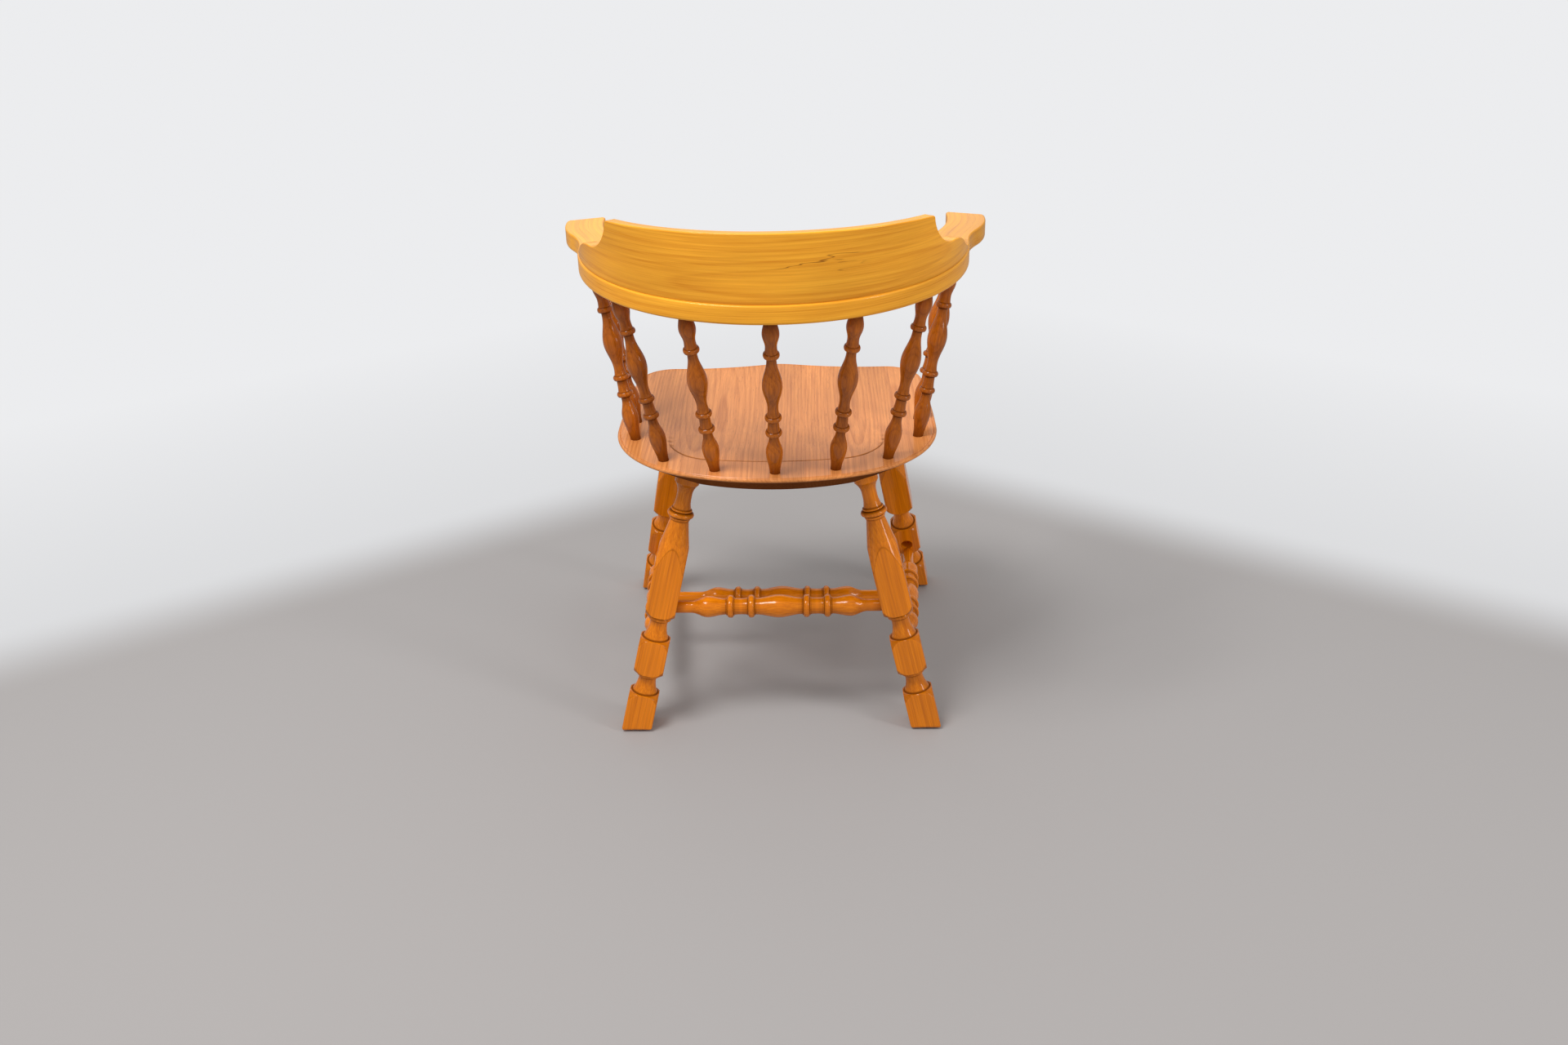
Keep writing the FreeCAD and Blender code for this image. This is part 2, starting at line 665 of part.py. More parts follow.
def leg(name, foot, top):
    """A leg trimmed level at the glide and at the seat's underside, with a round tenon."""
    lie = along(foot, top)
    length = (top - foot).Length
    start, moves = leg_profile(f"{length:.4f}")
    turning = turned_body(name + "_turning", start, moves, lie)
    toe = doc.addObject("Part::Box", name + "_toe")
    bind(toe, Length="leg_stock", Width="leg_stock", Height="foot_block_top / 2")
    half = size("leg_stock") / 2
    toe.Placement = lie.multiply(Placement(Vector(-half, -half, -size("foot_block_top") / 4), Rotation()))
    stock = doc.addObject("Part::Box", name + "_stock")
    bind(stock, Length="leg_stock", Width="leg_stock", Height=f"{length:.4f} + leg_flare_length")
    stock.Placement = lie.multiply(Placement(Vector(-half, -half, 0), Rotation()))
    square = doc.addObject("Part::Common", name + "_square")
    square.Base = turning
    square.Tool = stock
    whole = doc.addObject("Part::Fuse", name + "_whole")
    whole.Base = square
    whole.Tool = toe
    floor = doc.addObject("Part::Box", name + "_floor")
    bind(floor, Length="4 * leg_stock", Width="4 * leg_stock", Height="2 * leg_stock")
    floor_top = size("glide_thickness") - 2 * size("leg_stock")
    floor.Placement = Placement(Vector(foot.x - 4 * half, foot.y - 4 * half, floor_top), Rotation())
    trimmed = cut_all(name + "_trimmed", whole, [floor, seat_body])
    tenon = cylinder(name + "_tenon", "leg_tenon_radius", "2 * leg_tenon",
                     shifted(lie, length - size("leg_tenon")))
    joined = doc.addObject("Part::Fuse", name + "_joined")
    joined.Base = trimmed
    joined.Tool = tenon
    seat_tools.append(cylinder(name + "_seat_socket", "leg_tenon_radius + fit_gap",
                               "2 * leg_tenon + end_gap", shifted(lie, length - size("leg_tenon"))))
    return joined


def leg_line(kind, side):
    """Foot on the floor and top at the seat's underside of one leg."""
    foot = Vector(side * size(kind + "_foot_across"),
                  size("seat_rear_edge") - size(kind + "_foot_from_rear"), 0)
    top = SEAT.multVec(Vector(side * size(kind + "_top_across"), -size(kind + "_top_from_rear"),
                              -size("seat_thickness")))
    return foot, top


def at_height(line, height):
    foot, top = line
    return foot + (top - foot) * ((height - foot.z) / (top.z - foot.z))


# Stretchers: one turned pattern, symmetrical about its middle.

def stretcher_profile(length):
    half = f"({length} / 2)"

    def at(text, sign):
        return f"{half} {sign} ({text})"

    ring = "stretcher_ring_radius"
    base = "stretcher_ring_base_radius"
    width = "stretcher_ring_width / 2"
    end = "stretcher_end_radius"
    bulb_end = "stretcher_end_bulb_at + stretcher_end_bulb_half_length"
    inner = "stretcher_inner_ring_at"
    outer = "stretcher_outer_ring_at"
    moves = [(end, "0"), (end, at(bulb_end, "-"))]
    moves += ogee(at(bulb_end, "-"), end, at("stretcher_end_bulb_at", "-"), "stretcher_end_bulb_radius")
    moves += ogee(at("stretcher_end_bulb_at", "-"), "stretcher_end_bulb_radius",
                  at(f"{outer} + {width}", "-"), "stretcher_cove_radius")
    moves += step(at(f"{outer} + {width}", "-"), base)
    moves += bead(at(f"{outer} + {width}", "-"), at(f"{outer} - {width}", "-"), base, ring)
    moves += bead(at(f"{outer} - {width}", "-"), at(f"{inner} + {width}", "-"), base, "stretcher_cove_radius")
    moves += bead(at(f"{inner} + {width}", "-"), at(f"{inner} - {width}", "-"), base, ring)
    moves += step(at(f"{inner} - {width}", "-"), "stretcher_cove_radius")
    moves += ogee(at(f"{inner} - {width}", "-"), "stretcher_cove_radius", half, "stretcher_bulb_radius")
    moves += ogee(half, "stretcher_bulb_radius", at(f"{inner} - {width}", "+"), "stretcher_cove_radius")
    moves += step(at(f"{inner} - {width}", "+"), base)
    moves += bead(at(f"{inner} - {width}", "+"), at(f"{inner} + {width}", "+"), base, ring)
    moves += bead(at(f"{inner} + {width}", "+"), at(f"{outer} - {width}", "+"), base, "stretcher_cove_radius")
    moves += bead(at(f"{outer} - {width}", "+"), at(f"{outer} + {width}", "+"), base, ring)
    moves += step(at(f"{outer} + {width}", "+"), "stretcher_cove_radius")
    moves += ogee(at(f"{outer} + {width}", "+"), "stretcher_cove_radius",
                  at("stretcher_end_bulb_at", "+"), "stretcher_end_bulb_radius")
    moves += ogee(at("stretcher_end_bulb_at", "+"), "stretcher_end_bulb_radius", at(bulb_end, "+"), end)
    moves += [(end, length), ("0", length), ("0", "0")]
    return ("0", "0"), moves


def stretcher(name, start, finish, stop):
    """A stretcher between two axis points that stops short of each by stop, with its two socket cutters."""
    length = (finish - start).Length - 2 * stop
    lie = shifted(along_level(start, finish), stop)
    begin, moves = stretcher_profile(f"{length:.4f}")
    body = turned_body(name, begin, moves, lie)
    depth = "leg_stock + end_gap"
    reach = size("leg_stock")
    bore = "stretcher_end_radius + fit_gap"
    first = cylinder(name + "_first_socket", bore, depth, shifted(lie, -size("end_gap")))
    second = cylinder(name + "_second_socket", bore, depth, shifted(lie, length - reach))
    return body, first, second


lines = {}
joined_legs = {}
leg_tools = {}
for kind in ("rear", "front"):
    for word, side in (("left", 1), ("right", -1)):
        lines[kind, word] = leg_line(kind, side)
        joined_legs[kind, word] = leg(f"{kind}_{word}_leg_blank", *lines[kind, word])
        leg_tools[kind, word] = []

rear_ends = [at_height(lines["rear", word], size("rear_stretcher_height")) for word in ("left", "right")]
rear_body, first_tool, second_tool = stretcher("rear_stretcher", *rear_ends, size("stretcher_stop"))
node(rear_body, "rear_stretcher")
leg_tools["rear", "left"].append(first_tool)
leg_tools["rear", "right"].append(second_tool)

side_bodies = {}
middles = {}
for word in ("left", "right"):
    rear_end = at_height(lines["rear", word], size("side_stretcher_rear_height"))
    front_end = at_height(lines["front", word], size("side_stretcher_front_height"))
    side_bodies[word], first_tool, second_tool = stretcher(
        f"{word}_side_stretcher_turning", rear_end, front_end, size("stretcher_stop"))
    leg_tools["rear", word].append(first_tool)
    leg_tools["front", word].append(second_tool)
    middles[word] = (rear_end + front_end) * 0.5

centre_stop = size("stretcher_bulb_radius") - size("centre_tenon")
centre_body, first_tool, second_tool = stretcher(
    "centre_stretcher", middles["left"], middles["right"], centre_stop)
node(centre_body, "centre_stretcher")
for word, tool in (("left", first_tool), ("right", second_tool)):
    node(cut_all(f"{word}_side_stretcher", side_bodies[word], [tool]), f"{word}_side_stretcher")

# The front leg at the sitter's right keeps an empty round socket in the rear face of its middle block.
spare_line = lines["front", "right"]
spare_lie = along(*spare_line)
spare = cylinder("spare_socket", "spare_socket_radius", "2 * spare_socket_depth", spare_lie.multiply(
    Placement(Vector(0, size("leg_stock") / 2 - size("spare_socket_depth"), size("spare_socket_at")),
              Rotation(Vector(1, 0, 0), -90))))
leg_tools["front", "right"].append(spare)
for (kind, word), blank in joined_legs.items():
    node(cut_all(f"{kind}_{word}_leg", blank, leg_tools[kind, word]), f"{kind}_{word}_leg")
    foot = lines[kind, word][0]
    centre = at_height(lines[kind, word], size("glide_thickness") / 2)
    node(cylinder(f"{kind}_{word}_glide", "glide_radius", "glide_thickness",
                  Placement(Vector(centre.x, centre.y, 0), Rotation())), f"{kind}_{word}_glide")

# Seat hollows on both sides of the raised middle, the sockets, and the glued boards.
for word, side in (("left", 1), ("right", -1)):
    hollow = doc.addObject("Part::Ellipsoid", f"{word}_hollow")
    bind(hollow, Radius1="hollow_curve_height", Radius2="hollow_curve_width", Radius3="hollow_curve_length")
    hollow.Placement = SEAT.multiply(Placement(
        Vector(side * size("hollow_spread"), -size("hollow_from_rear"),
               size("hollow_curve_height") - size("hollow_depth")), Rotation()))
    seat_tools.append(hollow)
seat_whole = cut_all("seat_whole", seat_body, seat_tools)
joints = [size("seat_joint_at") + k * size("seat_board_width") for k in (-1, 0, 1)]
outside = size("seat_half_width") + size("seat_thickness")
edges = [-outside] + joints + [outside]
for count in range(4):
    slab = doc.addObject("Part::Box", f"seat_slab_{count + 1}")
    slab.Length = edges[count + 1] - edges[count]
    bind(slab, Width="seat_depth + 2 * seat_thickness", Height="3 * seat_thickness")
    slab_corner = Vector(edges[count], -size("seat_depth") - size("seat_thickness"), -2 * size("seat_thickness"))
    slab.Placement = SEAT.multiply(Placement(slab_corner, Rotation()))
    board = doc.addObject("Part::Common", f"seat_board_{count + 1}")
    board.Base = seat_whole
    board.Tool = slab
    node(board, f"seat_board_{count + 1}")


# Arms: two bent halves that meet behind the sitter and flare into flat hand rests.

def sway(start, heading, finish):
    """Turn and radius of the two equal arcs from start, heading outwards, to finish, heading forward."""
    across = finish.x - start.x
    forward = start.y - finish.y
    low, high = heading + 1e-4, math.radians(80)
    for _ in range(60):
        turn = (low + high) / 2
        ratio = (1 + math.cos(heading) - 2 * math.cos(turn)) / (2 * math.sin(turn) - math.sin(heading))
        if ratio < across / forward:
            low = turn
        else:
            high = turn
    return turn, forward / (2 * math.sin(turn) - math.sin(heading))


def sway_joint(radius, angle, reach, forward):
    """The middle of the double bend between the bow's round part and the hand rest, and its radius."""
    theta = math.radians(size(angle))
    start = Vector(math.sin(theta), math.cos(theta), 0) * size(radius)
    heading = math.pi / 2 - theta
    turn, bend = sway(start, heading, Vector(number_of(reach), -size(forward), 0))
    across = bend * (math.cos(heading) - math.cos(turn))
    forward = bend * (math.sin(turn) - math.sin(heading))
    joint = start + Vector(across, -forward, 0)
    return joint, bend


def arm_outline(sketch, side):
    outer_joint, outer_bend = sway_joint("arm_outer_radius", "arm_round_angle", HAND_OUTER,
                                         "hand_outer_forward")
    inner_joint, inner_bend = sway_joint("arm_inner_radius", "arm_inner_round_angle", HAND_INNER,
                                         "hand_inner_forward")
    clockwise = side > 0

    def spot(x_text, y_text):
        return (f"{side} * ({x_text})", y_text)

    def fixed(point):
        return spot(f"{point.x:.6f}", f"{point.y:.6f}")

    moves = [
        (*spot("arm_outer_radius * sin(arm_round_angle)", "arm_outer_radius * cos(arm_round_angle)"),
         "arm_outer_radius", not clockwise),
        (*fixed(outer_joint), f"{outer_bend:.6f}", clockwise),
        (*spot(HAND_OUTER, "-hand_outer_forward"), f"{outer_bend:.6f}", not clockwise),
        spot(HAND_OUTER, "-hand_outer_forward - hand_outer_straight"),
        spot(HAND_INNER, "-hand_inner_forward - hand_inner_straight"),
        spot(HAND_INNER, "-hand_inner_forward"),
        (*fixed(inner_joint), f"{inner_bend:.6f}", clockwise),
        (*spot("arm_inner_radius * sin(arm_inner_round_angle)",
               "arm_inner_radius * cos(arm_inner_round_angle)"), f"{inner_bend:.6f}", not clockwise),
        (*spot("0", "arm_inner_radius"), "arm_inner_radius", clockwise),
        spot("0", "arm_outer_radius"),
    ]
    draw_outline(sketch, spot("0", "arm_outer_radius"), moves)


for word, side in (("left", 1), ("right", -1)):
    arm_body = doc.addObject("PartDesign::Body", f"{word}_arm_blank")
    plan = new_sketch(arm_body, f"{word}_arm_plan", "XY_Plane")
    arm_outline(plan, side)
    arm_pad = arm_body.newObject("PartDesign::Pad", f"{word}_arm_pad")
    arm_pad.Profile = plan
    bind(arm_pad, Length="arm_thickness")
    doc.recompute()
    tips = edges_where(arm_pad.Shape, lambda edge: edge.BoundBox.ZLength > 1
                       and edge.BoundBox.YMin < -size("hand_outer_forward") - 1
                       and edge.BoundBox.YMax < -size("hand_inner_forward") - 1)
    arm_tip = rounded(arm_body, f"{word}_arm_corners", arm_pad, tips, "hand_corner_radius")
    arm_body.Placement = BOW
    doc.recompute()
    rims = edges_where(arm_tip.Shape, lambda edge: edge.BoundBox.ZLength < 0.01
                       and edge.BoundBox.XLength > 1
                       and (edge.BoundBox.ZMax < 1 or edge.BoundBox.YMax < size("arm_outer_radius") / 2
                            or abs(edge.BoundBox.YMax - size("arm_inner_radius")) < 1))
    rounded(arm_body, f"{word}_arm_edges", arm_tip, rims, "arm_edge_round")
    node(cut_all(f"{word}_arm", arm_body, bow_tools), f"{word}_arm")


# Crest rail: a leaning curved board on the bow, level on top, whose ends drop in a hollow and feather out.

crest_body = doc.addObject("PartDesign::Body", "crest_blank")
section = new_sketch(crest_body, "crest_section", "XZ_Plane")
rise = "(crest_top_height - arm_height)"
outer_top = f"crest_outer_radius + {rise} * tan(crest_lean)"
draw_outline(section, ("crest_outer_radius", "0"), [
    (outer_top, rise),
    (f"{outer_top} - crest_top_thickness", rise),
    ("crest_outer_radius - crest_foot_thickness", "0"),
    ("crest_outer_radius", "0"),
])
crest_turn = crest_body.newObject("PartDesign::Revolution", "crest_bend")
crest_turn.Profile = section
crest_turn.ReferenceAxis = (section, ["V_Axis"])
bind(crest_turn, Angle="2 * crest_end_angle")
crest_turn.Midplane = True
crest_body.Placement = BOW.multiply(Placement(Vector(0, -size("crest_centre_forward"), size("arm_thickness")),
                                              Rotation(Vector(0, 0, 1), 90)))
doc.recompute()
crest_volume = crest_turn.Shape.Volume

OUTER = "crest_outer_radius"
corner_run = f"({OUTER} * sin(crest_hollow_angle - crest_corner_angle))"
corner_drop = "(crest_corner_height - crest_hollow_height)"
hollow_bend = f"({corner_run}^2 + {corner_drop}^2) / (2 * {corner_drop})"
shoulder_bend = "(crest_shoulder_run^2 + crest_shoulder_drop^2) / (2 * crest_shoulder_drop)"
tail_height = "(crest_hollow_height - crest_shoulder_drop)"
end_run = f"({OUTER} * sin(crest_end_angle - crest_hollow_angle))"
tail_bend = f"(({end_run} - crest_shoulder_run)^2 + {tail_height}^2) / (2 * {tail_height})"
beyond = f"{end_run} + crest_foot_thickness"
above = "2 * crest_corner_height"
for word, side in (("left", 1), ("right", -1)):
    turn = -side * size("crest_hollow_angle")
    sweep = new_sketch(crest_body, f"{word}_crest_sweep", "YZ_Plane",
                       Placement(Vector(0, 0, 0), Rotation(Vector(0, 1, 0), turn)))
    mirror = -1 * side

    def spot(x_text, y_text):
        return (f"{mirror} * ({x_text})", y_text)

    draw_outline(sweep, spot(f"-{corner_run}", "crest_corner_height"), [
        (*spot("0", "crest_hollow_height"), hollow_bend, mirror > 0),
        (*spot("crest_shoulder_run", tail_height), shoulder_bend, mirror < 0),
        (*spot(end_run, "crest_feather"), tail_bend, mirror > 0),
        spot(beyond, "crest_feather"),
        spot(beyond, above),
        spot(f"-{corner_run}", above),
        spot(f"-{corner_run}", "crest_corner_height"),
    ])
    drop = crest_body.newObject("PartDesign::Pocket", f"{word}_crest_drop")
    drop.Profile = sweep
    drop.Type = "ThroughAll"
    drop.Reversed = True
    doc.recompute()
    if drop.Shape.Volume > crest_volume - 1000:
        raise RuntimeError(word + " end of the crest is not cut")
    crest_volume = drop.Shape.Volume

lid = doc.addObject("Part::Box", "crest_lid")
bind(lid, Length="4 * arm_outer_radius", Width="2 * arm_outer_radius", Height="arm_outer_radius")
lid.Placement = Placement(Vector(0, size("seat_rear_edge"), size("crest_top_height")),
                          Rotation(Vector(1, 0, 0), size("crest_top_fall"))).multiply(
    Placement(Vector(-2 * size("arm_outer_radius"), -1.5 * size("arm_outer_radius"), 0), Rotation()))
crest = cut_all("crest_level", crest_body, [lid])
node(crest, "crest_rail")

doc.recompute()
for thing in doc.Objects:
    if "Invalid" in thing.State or "Error" in thing.State:
        raise RuntimeError(f"{thing.Name} did not compute: {thing.State}")
for thing in NODES:
    if thing.Shape.isNull() or not thing.Shape.isValid():
        raise RuntimeError(f"{thing.Label} has no valid shape")
for thing in NODES:
    thing.Shape.exportStep(f"parts/{thing.Label}.step")
    print(f"{thing.Label}: {len(thing.Shape.Solids)} solid, {thing.Shape.Volume / 1000:.1f} cm3")
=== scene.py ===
import math

import bmesh
import bpy
import numpy as np
from bpy.props import FloatProperty, FloatVectorProperty, IntProperty, PointerProperty
from bpy.types import Operator, Panel, PropertyGroup
from mathutils import Matrix, Vector


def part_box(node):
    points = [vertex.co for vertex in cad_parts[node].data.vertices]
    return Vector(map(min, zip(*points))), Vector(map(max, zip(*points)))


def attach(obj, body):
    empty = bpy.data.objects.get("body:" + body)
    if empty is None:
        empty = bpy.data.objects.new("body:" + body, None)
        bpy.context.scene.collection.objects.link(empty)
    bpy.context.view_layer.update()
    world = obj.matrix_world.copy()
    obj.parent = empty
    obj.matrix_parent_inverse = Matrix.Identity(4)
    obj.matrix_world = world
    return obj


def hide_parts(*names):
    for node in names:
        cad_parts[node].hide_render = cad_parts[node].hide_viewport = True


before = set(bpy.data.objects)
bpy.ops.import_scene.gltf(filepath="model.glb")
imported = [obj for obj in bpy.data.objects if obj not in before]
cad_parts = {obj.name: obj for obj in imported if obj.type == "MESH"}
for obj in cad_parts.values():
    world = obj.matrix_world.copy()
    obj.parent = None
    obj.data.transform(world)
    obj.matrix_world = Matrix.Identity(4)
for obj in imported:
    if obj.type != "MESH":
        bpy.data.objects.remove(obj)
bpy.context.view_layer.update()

bl_info = {
    "name": "Captains Chair",
    "version": (1, 0, 0),
    "blender": (4, 5, 0),
    "location": "View3D > Sidebar > Chair",
    "description": "Turns, bends and lacquers the pieces of a bow-arm captains chair",
    "category": "Add Mesh",
}

MM = 0.001
SPINDLES = [f"back_spindle_{count}" for count in range(1, 8)]
POSTS = ["left_arm_post", "right_arm_post"]
BOARDS = [f"seat_board_{count}" for count in range(1, 5)]


def length(name, default, description):
    return FloatProperty(name=name, description=description, default=default * MM, unit="LENGTH",
                         precision=4)


def angle(name, default, description):
    return FloatProperty(name=name, description=description, default=math.radians(default),
                         subtype="ANGLE")


def colour(name, default, description):
    return FloatVectorProperty(name=name, description=description, default=default, subtype="COLOR",
                               size=3)


def position(name, default, description):
    return FloatVectorProperty(name=name, description=description, default=default, unit="LENGTH")


class ChairSizes(PropertyGroup):
    seat_rear: length("Seat rear edge", 235.7, "Place of the seat's rear edge along Y")
    seat_height: length("Seat height", 430.0, "Height of the seat's rear edge")
    seat_fall: angle("Seat fall", 1.6, "Slope of the seat to the rear")
    seat_depth: length("Seat depth", 453.0, "Rear edge to front edge")
    seat_half_width: length("Seat half width", 236.0, "Middle to the widest place")
    seat_widest_at: length("Widest at", 185.0, "Rear edge to the widest place")
    seat_rear_radius: length("Rear curve", 362.0, "Radius of the seat's rear edge")
    seat_side_radius: length("Side curve", 2300.0, "Radius of the seat's sides")
    seat_front_radius: length("Front curve", 1150.0, "Radius of the seat's front edge")
    seat_corner_radius: length("Front corners", 70.0, "Radius of the seat's front corners")
    seat_thickness: length("Seat thickness", 44.0, "Thickness of the boards")
    seat_lip: length("Seat lip", 4.5, "Upright part of the seat's edge")
    seat_bevel_in: length("Underside bevel", 62.0, "How far the bevel runs in under the seat")
    board_width: length("Board width", 135.0, "Width of one glued seat board")
    joint_at: length("Board joint", -41.0, "Place of the middle board joint")
    arm_height: length("Arm height", 681.6, "Underside of the bow at its centre")
    arm_centre: length("Bow centre", 24.2, "Place of the bow's centre along Y")
    arm_fall: angle("Arm fall", 2.3, "Slope of the bow to the rear")
    arm_thickness: length("Arm thickness", 26.0, "Thickness of the bow")
    arm_outer: length("Bow outer radius", 277.0, "Outer radius of the bow")
    arm_inner: length("Bow inner radius", 220.5, "Inner radius of the bow")
    arm_outer_turn: angle("Outer turn", 88.0, "How far round the bow's outer edge stays a circle")
    arm_inner_turn: angle("Inner turn", 86.0, "How far round the bow's inner edge stays a circle")
    hand_outer: length("Hand rest outer reach", 312.0, "Middle to the outer edge of a hand rest")
    hand_inner: length("Hand rest inner reach", 256.0, "Middle to the inner edge of a hand rest")
    hand_outer_bend: length("Outer bend end", 111.5, "Bow centre to the end of the outer bend")
    hand_inner_bend: length("Inner bend end", 123.5, "Bow centre to the end of the inner bend")
    hand_outer_tip: length("Outer tip", 126.5, "Bow centre to the outer corner of the tip")
    hand_inner_tip: length("Inner tip", 144.5, "Bow centre to the inner corner of the tip")
    hand_corner: length("Tip corners", 9.0, "Radius of the hand rests' corners")
    arm_top_round: length("Arm top edge", 2.6, "Rounding of the bow's top edges")
    arm_low_round: length("Arm low edge", 4.0, "Rounding of the bow's low edges")
    crest_outer: length("Crest radius", 275.5, "Outer radius of the crest rail at its foot")
    crest_forward: length("Crest centre", 2.0, "How far the crest's centre stands before the bow's")
    crest_foot: length("Crest foot", 21.0, "Thickness of the crest at its foot")
    crest_top: length("Crest top", 17.0, "Thickness of the crest at its top")
    crest_lean: angle("Crest lean", 3.4, "Outward lean of the crest")
    crest_height: length("Crest height", 787.6, "Height of the crest's top above the seat's rear edge")
    crest_fall: angle("Crest top fall", 2.5, "Slope of the crest's top towards the front")
    crest_corner: length("Crest corner", 90.9, "Height of the crest's corners above the bow")
    crest_corner_turn: angle("Crest corner turn", 49.2, "Turn from the rear to the crest's corners")
    crest_hollow: length("Crest hollow", 38.5, "Height of the crest where its hollow is lowest")
    crest_hollow_turn: angle("Crest hollow turn", 61.5, "Turn from the rear to the hollow")
    crest_end_turn: angle("Crest end turn", 89.0, "Turn from the rear to the crest's ends")
    crest_shoulder: length("Crest shoulder", 45.0, "Run of the shoulder beyond the hollow")
    crest_shoulder_drop: length("Shoulder drop", 13.5, "How far the shoulder falls")
    crest_edge: length("Crest edge", 2.0, "Rounding of the crest's top edges")
    leg_stock: length("Leg stock", 44.5, "Side of the square legs")
    foot_height: length("Glide", 2.5, "Height of the glides")
    rear_foot: position("Rear foot", (0.220, 0.1807, 0.0), "Floor point of the left rear leg")
    rear_top: position("Rear leg top", (0.1290, 0.1442, 0.3885), "Top of the left rear leg")
    front_foot: position("Front foot", (0.236, -0.2853, 0.0), "Floor point of the left front leg")
    front_top: position("Front leg top", (0.1586, -0.1561, 0.3969), "Top of the left front leg")
    spare_socket: length("Empty socket", 20.0, "Diameter of the empty socket in a front leg")
    segments: IntProperty(name="Turning facets", description="Facets around a turned piece", default=56)


class ChairColours(PropertyGroup):
    bow_light: colour("Bow, early wood", (0.93, 0.425, 0.032), "Palest wood of the arms and crest")
    bow_dark: colour("Bow, late wood", (0.60, 0.185, 0.006), "Darkest wood of the arms and crest")
    turned_light: colour("Turned wood, light", (0.88, 0.250, 0.003), "Palest wood of the legs and stretchers")
    turned_dark: colour("Turned wood, dark", (0.40, 0.078, 0.001), "Darkest wood of the legs and stretchers")
    row_light: colour("Spindles, light", (0.54, 0.138, 0.005), "Palest wood of the spindles and posts")
    row_dark: colour("Spindles, dark", (0.15, 0.027, 0.001), "Darkest wood of the spindles and posts")
    seat_light: colour("Seat, light", (0.74, 0.29, 0.085), "Palest wood of the seat")
    seat_dark: colour("Seat, dark", (0.38, 0.105, 0.02), "Darkest wood of the seat")
    # Painted shade: the dark colour that recesses, joints and the seat's underside are mixed towards.
    painted_shade: colour("Stain", (0.060, 0.011, 0.003), "Stain that gathers in recesses")
    glide: colour("Glides", (0.02, 0.017, 0.015), "Glides under the feet")
    floor: colour("Floor", (0.345, 0.328, 0.322), "Studio floor near the chair")
    wall: colour("Wall", (0.84, 0.845, 0.86), "Pale wall that the floor runs into")


# Sections of turned pieces: places along the piece and radii in millimetres, joined by named forms.

def trace(start, forms, step=0.8):
    """Points (place, radius) of a turned outline that begins at start and follows the forms."""
    points = [start]
    for form, place, radius, *peak in forms:
        here, width = points[-1]
        count = max(2, math.ceil(abs(place - here) / step))
        if form == "bead":
            count = max(count, 12)
        for index in range(1, count + 1):
            share = index / count
            if form == "ogee":
                bend = (1 - math.cos(math.pi * share)) / 2
            elif form == "flare":
                bend = share ** 2.2
            elif form == "hollow":
                bend = 1 - (1 - share) ** 2.2
            else:
                bend = share
            size = width + (radius - width) * bend
            if form == "bead":
                size += (peak[0] - max(width, radius)) * math.sqrt(max(0.0, 1 - (2 * share - 1) ** 2))
            points.append((here + (place - here) * share, size))
    return points


# The pattern of the uprights: its length from seat to bow and how far it runs into each, in millimetres.
UPRIGHT_SPAN = 248.0
TENON = 6.0


def upright_outline(span):
    """Spindle outline from its tenon in the seat to its tenon in the bow."""
    return trace((-TENON, 7.3), [
        ("line", 0.0, 7.5), ("ogee", 36.0, 11.9), ("ogee", 61.0, 6.8), ("line", 65.0, 6.8),
        ("line", 65.4, 8.9), ("bead", 73.0, 8.9, 11.6), ("hollow", 88.3, 7.7), ("line", 89.8, 7.7),
        ("line", 90.2, 8.9), ("bead", 97.8, 8.9, 11.6), ("hollow", 109.6, 7.4), ("ogee", 146.0, 13.9),
        ("ogee", 186.0, 6.8), ("line", 190.2, 6.8), ("line", 190.6, 8.9), ("bead", 198.2, 8.9, 11.2),
        ("hollow", 207.6, 8.0), ("ogee", 226.5, 11.6), ("ogee", span, 8.3), ("line", span + TENON, 8.1),
    ])


def stretcher_outline(span):
    """Stretcher outline, made for one half and mirrored about its middle."""
    half = trace((0.0, 17.0), [
        ("ogee", 33.6, 12.4), ("line", 34.6, 12.2), ("line", 35.0, 13.6), ("line", 35.8, 13.6),
        ("line", 36.0, 12.8), ("bead", 46.0, 12.8, 17.0), ("line", 46.2, 13.5), ("line", 47.0, 13.5),
        ("line", 47.3, 12.6), ("hollow", 56.5, 12.0), ("flare", 65.7, 12.6), ("line", 66.0, 13.5),
        ("line", 66.8, 13.5), ("line", 67.0, 12.8), ("bead", 77.0, 12.8, 17.0), ("line", 77.2, 13.6),
        ("line", 78.0, 13.6), ("line", 78.3, 12.2), ("line", 79.6, 12.1), ("ogee", 106.0, 15.8),
        ("ogee", 131.0, 8.9), ("line", span / 2, 8.8),
    ])
    return [(-place, radius) for place, radius in reversed(half[1:])] + half


